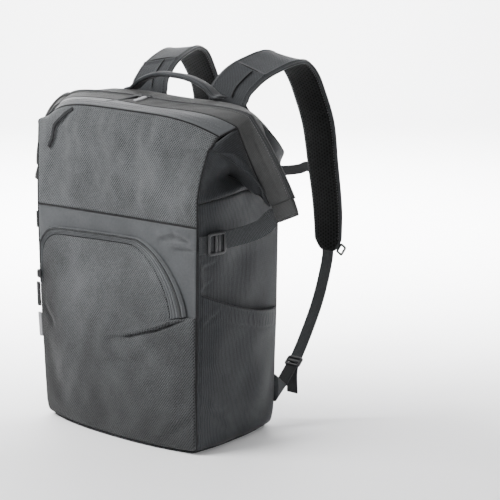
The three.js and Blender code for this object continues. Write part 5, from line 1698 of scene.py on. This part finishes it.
def chest_strap():
    """Two halves of slack webbing and a fastened side-release buckle between them."""
    line, _, width, at = strap_line()
    z = CHEST_HEIGHT
    k = int(np.argmin(np.abs(line[:, 2] - z) + 1000 * (at < at[-1] * 0.5)))
    y, edge = line[k, 1], line[k, 0] - width[k] / 2
    near = 17.3
    points = [(edge + 1.5, y, z), (edge - 5, y, z), (edge * 0.8 + near * 0.2, y - 1, z - 4),
              (edge * 0.4 + near * 0.6, y - 5, z - 9), (near - 2, y - 6, z - 10)]
    for letter, hand in SIDES.items():
        ribbon("Chest strap " + letter, "sternum_strap_" + letter, points, 50, 15, (0, 0, 1), hand)
    place = (0, y - 6, z - 10)
    body_ = rounded_bar("Chest buckle", place, (1, 0, 0), (0, 1, 0), 34, 22, 7, plastic(), 4.5)
    prong = rounded_bar("Chest buckle prong", place, (1, 0, 0), (0, 1, 0), 18, 23.2, 4.2, plastic(), 3.0)
    slot_ = rounded_bar("Chest buckle rim", (-13, y - 6, z - 10), (0, 0, 1), (0, 1, 0), 21, 5, 7.8, plastic(),
                        4.0)
    finish_piece(join("Chest buckle", [body_, prong, slot_]), "moulded_plastic", "sternum_buckle")


HANDLE_HALF = 88.0
HANDLE_PLACE = 38.0
HANDLE_RISE = 27.0
CHEST_HEIGHT = 350.0


def handle_line(count=110):
    """The handle's middle line: a low arch from foot to foot along the top's back half."""
    v = np.float64(CROWN)
    seat = lambda x: float(across(v, x / x_of(rows_at(v)["backX"]), 1)[2]) + 7 * 0.53 + LAY
    rises = [(-1, 0), (-0.9, 0.02), (-0.66, 0.53), (-0.33, 0.87), (0, 0.98)]
    rises += [(-share, rise) for share, rise in rises[-2::-1]]
    points = [(share * HANDLE_HALF, HANDLE_PLACE, seat(math.copysign(HANDLE_HALF, share)) + rise * HANDLE_RISE)
              for share, rise in rises]
    return path_through(points, count)


def handle_lift(length, a, b):
    """The handle's rolled middle: crowned, with a pressed seam inside each edge."""
    press = -0.9 * hump(np.abs(a) - 0.74, 0.07)
    return (press + 0.7 * (1 - a**2)) * np.sign(b) * (np.abs(b) > 0.2)


def grab_handle():
    """The grab handle: a padded band that arches over the back of the top, flat and wide at its feet."""
    path = handle_line()
    share = np.abs(np.linspace(-1, 1, len(path)))
    width = 18 + 6.0 * smooth(0.6, 0.95, share)
    thick = 6.6 - 1.6 * smooth(0.75, 1.0, share)
    obj = band("Grab handle", path, (0, 1, 0), width, thick, side_cloth(), 3.2, 44, handle_lift, 3.0)
    return finish_piece(obj, "dark_fabric", "grab_handle")


# ---------------------------------------------------------------- stitching


def body_line(v, q, off=0.25, count=400):
    """A line on the body between two (v, q) places, raised off it, and the outward direction along it."""
    t = np.linspace(0, 1, count)
    v, q = v[0] + (v[1] - v[0]) * t, q[0] + (q[1] - q[0]) * t
    n = normal_of(body, v, q, (0, RIM), (min(q), max(q)))
    return body(v, q) + n * off, n


def strip_stitching():
    """Double rows on the top strips and single rows along the facings."""
    lines = [body_line((BROW + 0.3, BROW + 0.3), (0.02, 0.98)),
             body_line((BROW + 0.5, BROW + 0.5), (0.02, 0.98)),
             body_line((RIM - 0.14, RIM - 0.14), (LEFT_TURN - ROUND + 0.02, RIGHT_FOLD - 0.02)),
             body_line((RIM - 0.14, RIM - 0.14), (RIGHT_TURN + 0.02, LEFT_FOLD - 0.02))]
    sew("Strip stitching", lines)


def seam_shade_cords():
    """Painted shade: near-black cord at the bottom of the grooves between the panels, standing in for their
    shadow: round, its middle 0.9 mm under the body.
    """
    made = []
    spans = [((0.05, CROWN), (1, 1)), ((0.05, CROWN), (ROUND, ROUND)), ((SEAM, SEAM), (0, 1)),
             ((BROW, BROW), (0, 1)),
             ((CROWN, CROWN), (0, 1)), ((CROWN, CROWN), (1, RIGHT_FOLD - 0.04)),
             ((CROWN, CROWN), (LEFT_FOLD + 0.04, ROUND))]
    for k, (v, q) in enumerate(spans):
        t = np.linspace(0, 1, 260)
        line_v, line_q = v[0] + (v[1] - v[0]) * t, q[0] + (q[1] - q[0]) * t
        n = normal_of(body, line_v, line_q, (0, RIM), (q[0] - 0.02, q[1] + 0.02))
        # Painted shade: a near-black cord where the groove's shadow falls.
        made.append(band("Seam cord %d" % k, body(line_v, line_q) - n * 0.9, n, 2.2, 2.2, painted_shade_cord(), 2.0, 8,
                         None, 1.0))
    return finish_piece(join("Seam cords", made), "dark_fabric")


def strap_shade_cords():
    """Painted shade: near-black cord in the seams of each shoulder strap's outer face, standing in for their
    shadow: one across it, one along it up to there.
    """
    made = []
    for letter, hand in SIDES.items():
        line, side, width, at = strap_pose(hand)
        _, across_, up = directions(line, side)
        k = int(np.argmin(np.abs(at - SEAM_ACROSS)))
        a = np.linspace(-0.8, 0.8, 60)[:, None]
        high = STRAP_PADDING / 2 * (1 - np.abs(a) ** STRAP_ROUND) ** (1 / STRAP_ROUND)
        high = high + 1.6 * (1 - np.abs(a) ** 2.5) - 1.1
        crossing = line[k] + across_[k] * a * width[k] / 2 - up[k] * high
        middle = (at > SEAM_ALONG[0]) & (at < SEAM_ALONG[1])
        aside = across_ * width[:, None] * SEAM_ASIDE / 2
        down = (line + aside - up * (STRAP_PADDING / 2 + 0.3))[middle]
        for name, path, way in (("across ", crossing, up[k]), ("along ", down, up[middle])):
            # Painted shade along the strap's seams.
            made.append(band("Strap cord " + name + letter, path, way, 2.4, 2.4, painted_shade_cord(), 2.0, 8, None,
                             1.0))
    return finish_piece(join("Strap cords", made), "dark_fabric")


def tab_stitching():
    """Rows along both long edges of the ear tabs, on both faces."""
    middle = tab_middle()
    lines = []
    for hand in SIDES.values():
        for facing in (-1, 1):
            for edge in (-TAB_SEAM, TAB_SEAM):
                start = middle + EAR_OUT * edge * TAB_LENGTH / 2 + [0, facing * 3.3, 0]
                path = np.stack([start + EAR_WAY * d for d in np.linspace(-0.46, 0.46, 40) * EAR_WIDTH])
                lines.append((mirrored(path, hand), np.array([0, facing, 0.0])))
    sew("Tab stitching", lines, 0.38)


def strap_stitching():
    """Rows beside the bindings of the shoulder straps, on both faces."""
    lines = []
    for hand in SIDES.values():
        line, side, width, _ = strap_pose(hand)
        _, across_, up = directions(line, side)
        for face in (-1, 1):
            for edge in (-CHANNEL, CHANNEL):
                path = line + across_ * (width * edge / 2)[:, None] + up * (face * 3.2)
                lines.append((path[8:-6], face * up[8:-6]))
    sew("Strap stitching", lines, 0.34)


# ---------------------------------------------------------------- stage

AZIMUTH, ELEVATION, DISTANCE = math.radians(39.0), math.radians(11.9), 1.93
TARGET = Vector((0.168, 0.0, 0.273))
FOCAL_PIXELS = 1440.0
FRAME_PIXELS = 500.0
SENSOR = 36.0


def camera_way():
    """The direction from the bag to the camera."""
    return Vector((math.sin(AZIMUTH) * math.cos(ELEVATION), -math.cos(AZIMUTH) * math.cos(ELEVATION),
                   math.sin(ELEVATION)))


def add_camera():
    """The camera at the photo's angle and distance."""
    data = bpy.data.cameras.new("View of the bag")
    data.sensor_width = SENSOR
    data.lens = FOCAL_PIXELS / FRAME_PIXELS * SENSOR
    camera = bpy.data.objects.new("View of the bag", data)
    bpy.context.scene.collection.objects.link(camera)
    camera.location = TARGET + camera_way() * DISTANCE
    camera.rotation_euler = camera_way().to_track_quat("Z", "Y").to_euler()
    bpy.context.scene.camera = camera


def add_light(name, place, size, power, aim):
    """A large square light at a place, turned to another."""
    data = bpy.data.lights.new(name, "AREA")
    data.shape = "SQUARE"
    data.size = size
    data.energy = power
    light = bpy.data.objects.new(name, data)
    bpy.context.scene.collection.objects.link(light)
    light.location = place
    light.rotation_euler = (Vector(place) - Vector(aim)).to_track_quat("Z", "Y").to_euler()


def floor_finish():
    """A pale matte floor with the slightest change of tone."""
    mat, t, shader, _, place = start_material("pale floor")
    if t:
        tone = t.group(cloth_tone(), Vector=place)
        r, g, b = bpy.context.scene.backpack_stage.floor
        t.put(shader.inputs["Base Color"], t.mix(tone["Tone"], (r * 0.99, g * 0.99, b * 0.99, 1), (r, g, b, 1)))
        shader.inputs["Roughness"].default_value = 0.7
    return mat


# Each light's place, size, share of the key light's power and the place that it is turned to
LIGHTS = {
    "Key": ((-0.75, -1.25, 2.0), 0.9, 0.95, (0, 0, 0.45)),
    "Fill": ((2.4, -1.6, 1.2), 2.0, 0.34, (0, 0, 0.3)),
    "Top": ((-0.3, -0.6, 2.4), 1.6, 0.12, (0, 0, 0.3)),
}


def add_floor():
    """A floor that turns up into a backdrop: flat, then a quarter circle, then upright."""
    start, reach, radius, high = -6000.0, 3500.0, 1500.0, 5000.0
    angle = np.linspace(0, math.pi / 2, 24)
    y = np.concatenate([[start, 0], reach + radius * np.sin(angle), [reach + radius]])
    z = np.concatenate([[0, 0], radius * (1 - np.cos(angle)), [high]])
    x = np.linspace(-7000, 7000, 8)
    grid = np.stack([x[None] * np.ones_like(y)[:, None], y[:, None] * np.ones_like(x),
                     z[:, None] * np.ones_like(x)], -1)
    c, s = math.cos(AZIMUTH), math.sin(AZIMUTH)
    gx, gy = grid[..., 0].copy(), grid[..., 1].copy()
    grid[..., 0], grid[..., 1] = gx * c - gy * s, gx * s + gy * c
    floor = new_object("Floor", grid.reshape(-1, 3), grid_faces(*grid.shape[:2]), None, floor_finish())


def build_stage():
    """The floor, the camera, the large soft lights and the room's own light."""
    stage = bpy.context.scene.backpack_stage
    add_floor()
    add_camera()
    away = camera_way() * -1
    for name, (place, size, share, aim) in LIGHTS.items():
        add_light(name, place, size, stage.key * share, aim)
    add_light("Backdrop", (away.x * 1.1, away.y * 1.1, 2.3), 2.0, stage.key * 11,
              (away.x * 4.5, away.y * 4.5, 0.5))
    world = bpy.data.worlds.new("Room")
    bpy.context.scene.world = world
    world.use_nodes = True
    back = world.node_tree.nodes["Background"]
    back.inputs["Color"].default_value = (1, 1, 1, 1)
    back.inputs["Strength"].default_value = stage.sky


# ---------------------------------------------------------------- operators, panel and run


class BACKPACK_OT_shell(bpy.types.Operator):
    """Build the panels of the body"""

    bl_idname = "backpack.shell"
    bl_label = "Shell panels"

    def execute(self, context):
        build_shell()
        return {"FINISHED"}


class BACKPACK_OT_front_pocket(bpy.types.Operator):
    """Build the front pocket and its zip band"""

    bl_idname = "backpack.front_pocket"
    bl_label = "Front pocket"

    def execute(self, context):
        pocket_face()
        zip_band()
        return {"FINISHED"}


class BACKPACK_OT_side_pockets(bpy.types.Operator):
    """Build the two side pockets"""

    bl_idname = "backpack.side_pockets"
    bl_label = "Side pockets"

    def execute(self, context):
        for letter, hand in SIDES.items():
            side_pocket(letter, hand)
        return {"FINISHED"}


class BACKPACK_OT_zips(bpy.types.Operator):
    """Build the main zip, the sliders and their grips"""

    bl_idname = "backpack.zips"
    bl_label = "Zips and grips"

    def execute(self, context):
        main_zip()
        zip_grips()
        front_grips()
        return {"FINISHED"}


class BACKPACK_OT_ears(bpy.types.Operator):
    """Build the ear tabs, the side straps and their buckles"""

    bl_idname = "backpack.ears"
    bl_label = "Ears and side straps"

    def execute(self, context):
        for letter, hand in SIDES.items():
            ear_tab(letter, hand)
            side_strap(letter, hand)
            side_buckle(letter, hand)
        return {"FINISHED"}


class BACKPACK_OT_shoulder_straps(bpy.types.Operator):
    """Build the padded shoulder straps and the small loops on them"""

    bl_idname = "backpack.shoulder_straps"
    bl_label = "Shoulder straps"

    def execute(self, context):
        for letter, hand in SIDES.items():
            shoulder_strap(letter, hand)
            strap_loop(letter, hand)
        return {"FINISHED"}


class BACKPACK_OT_hardware(bpy.types.Operator):
    """Build the webbing, ladder locks and wings below the shoulder straps"""

    bl_idname = "backpack.hardware"
    bl_label = "Strap webbing"

    def execute(self, context):
        for letter, hand in SIDES.items():
            strap_hardware(letter, hand)
        return {"FINISHED"}


class BACKPACK_OT_chest_strap(bpy.types.Operator):
    """Build the chest strap and its buckle"""

    bl_idname = "backpack.chest_strap"
    bl_label = "Chest strap"

    def execute(self, context):
        chest_strap()
        return {"FINISHED"}


class BACKPACK_OT_handle(bpy.types.Operator):
    """Build the grab handle"""

    bl_idname = "backpack.handle"
    bl_label = "Grab handle"

    def execute(self, context):
        grab_handle()
        return {"FINISHED"}


class BACKPACK_OT_stitching(bpy.types.Operator):
    """Sew the visible rows of stitches"""

    bl_idname = "backpack.stitching"
    bl_label = "Stitching"

    def execute(self, context):
        # The near-black cords in the seams and on the straps are painted shade.
        seam_shade_cords()
        strap_shade_cords()
        strip_stitching()
        tab_stitching()
        strap_stitching()
        return {"FINISHED"}


class BACKPACK_OT_stage(bpy.types.Operator):
    """Set the floor, the lights and the camera"""

    bl_idname = "backpack.stage"
    bl_label = "Stage"

    def execute(self, context):
        build_stage()
        return {"FINISHED"}


OPERATORS = (
    BACKPACK_OT_shell, BACKPACK_OT_front_pocket, BACKPACK_OT_side_pockets, BACKPACK_OT_zips, BACKPACK_OT_ears,
    BACKPACK_OT_shoulder_straps, BACKPACK_OT_hardware, BACKPACK_OT_chest_strap, BACKPACK_OT_handle,
    BACKPACK_OT_stitching, BACKPACK_OT_stage)


class BACKPACK_PT_sidebar(bpy.types.Panel):
    """Lists the sizes, the colours and the steps."""

    bl_idname = "BACKPACK_PT_sidebar"
    bl_label = "Camera backpack"
    bl_space_type = "VIEW_3D"
    bl_region_type = "UI"
    bl_category = "Backpack"

    def draw(self, context):
        for name in ("backpack_cloth", "backpack_colours", "backpack_stage"):
            group = getattr(context.scene, name)
            box = self.layout.box()
            for key in group.__annotations__:
                box.prop(group, key)
        for operator in OPERATORS:
            self.layout.operator(operator.bl_idname)


GROUPS = {"backpack_cloth": BACKPACK_PG_cloth, "backpack_colours": BACKPACK_PG_colours,
          "backpack_stage": BACKPACK_PG_stage}


def register():
    for cls in (*GROUPS.values(), *OPERATORS, BACKPACK_PT_sidebar):
        bpy.utils.register_class(cls)
    for name, cls in GROUPS.items():
        setattr(bpy.types.Scene, name, bpy.props.PointerProperty(type=cls))


def unregister():
    for name in GROUPS:
        delattr(bpy.types.Scene, name)
    for cls in (BACKPACK_PT_sidebar, *reversed(OPERATORS), *GROUPS.values()):
        bpy.utils.unregister_class(cls)


def main():
    """Builds everything in order."""
    register()
    for operator in OPERATORS:
        getattr(bpy.ops.backpack, operator.bl_idname.split(".")[1])()


if __name__ == "__main__":
    main()
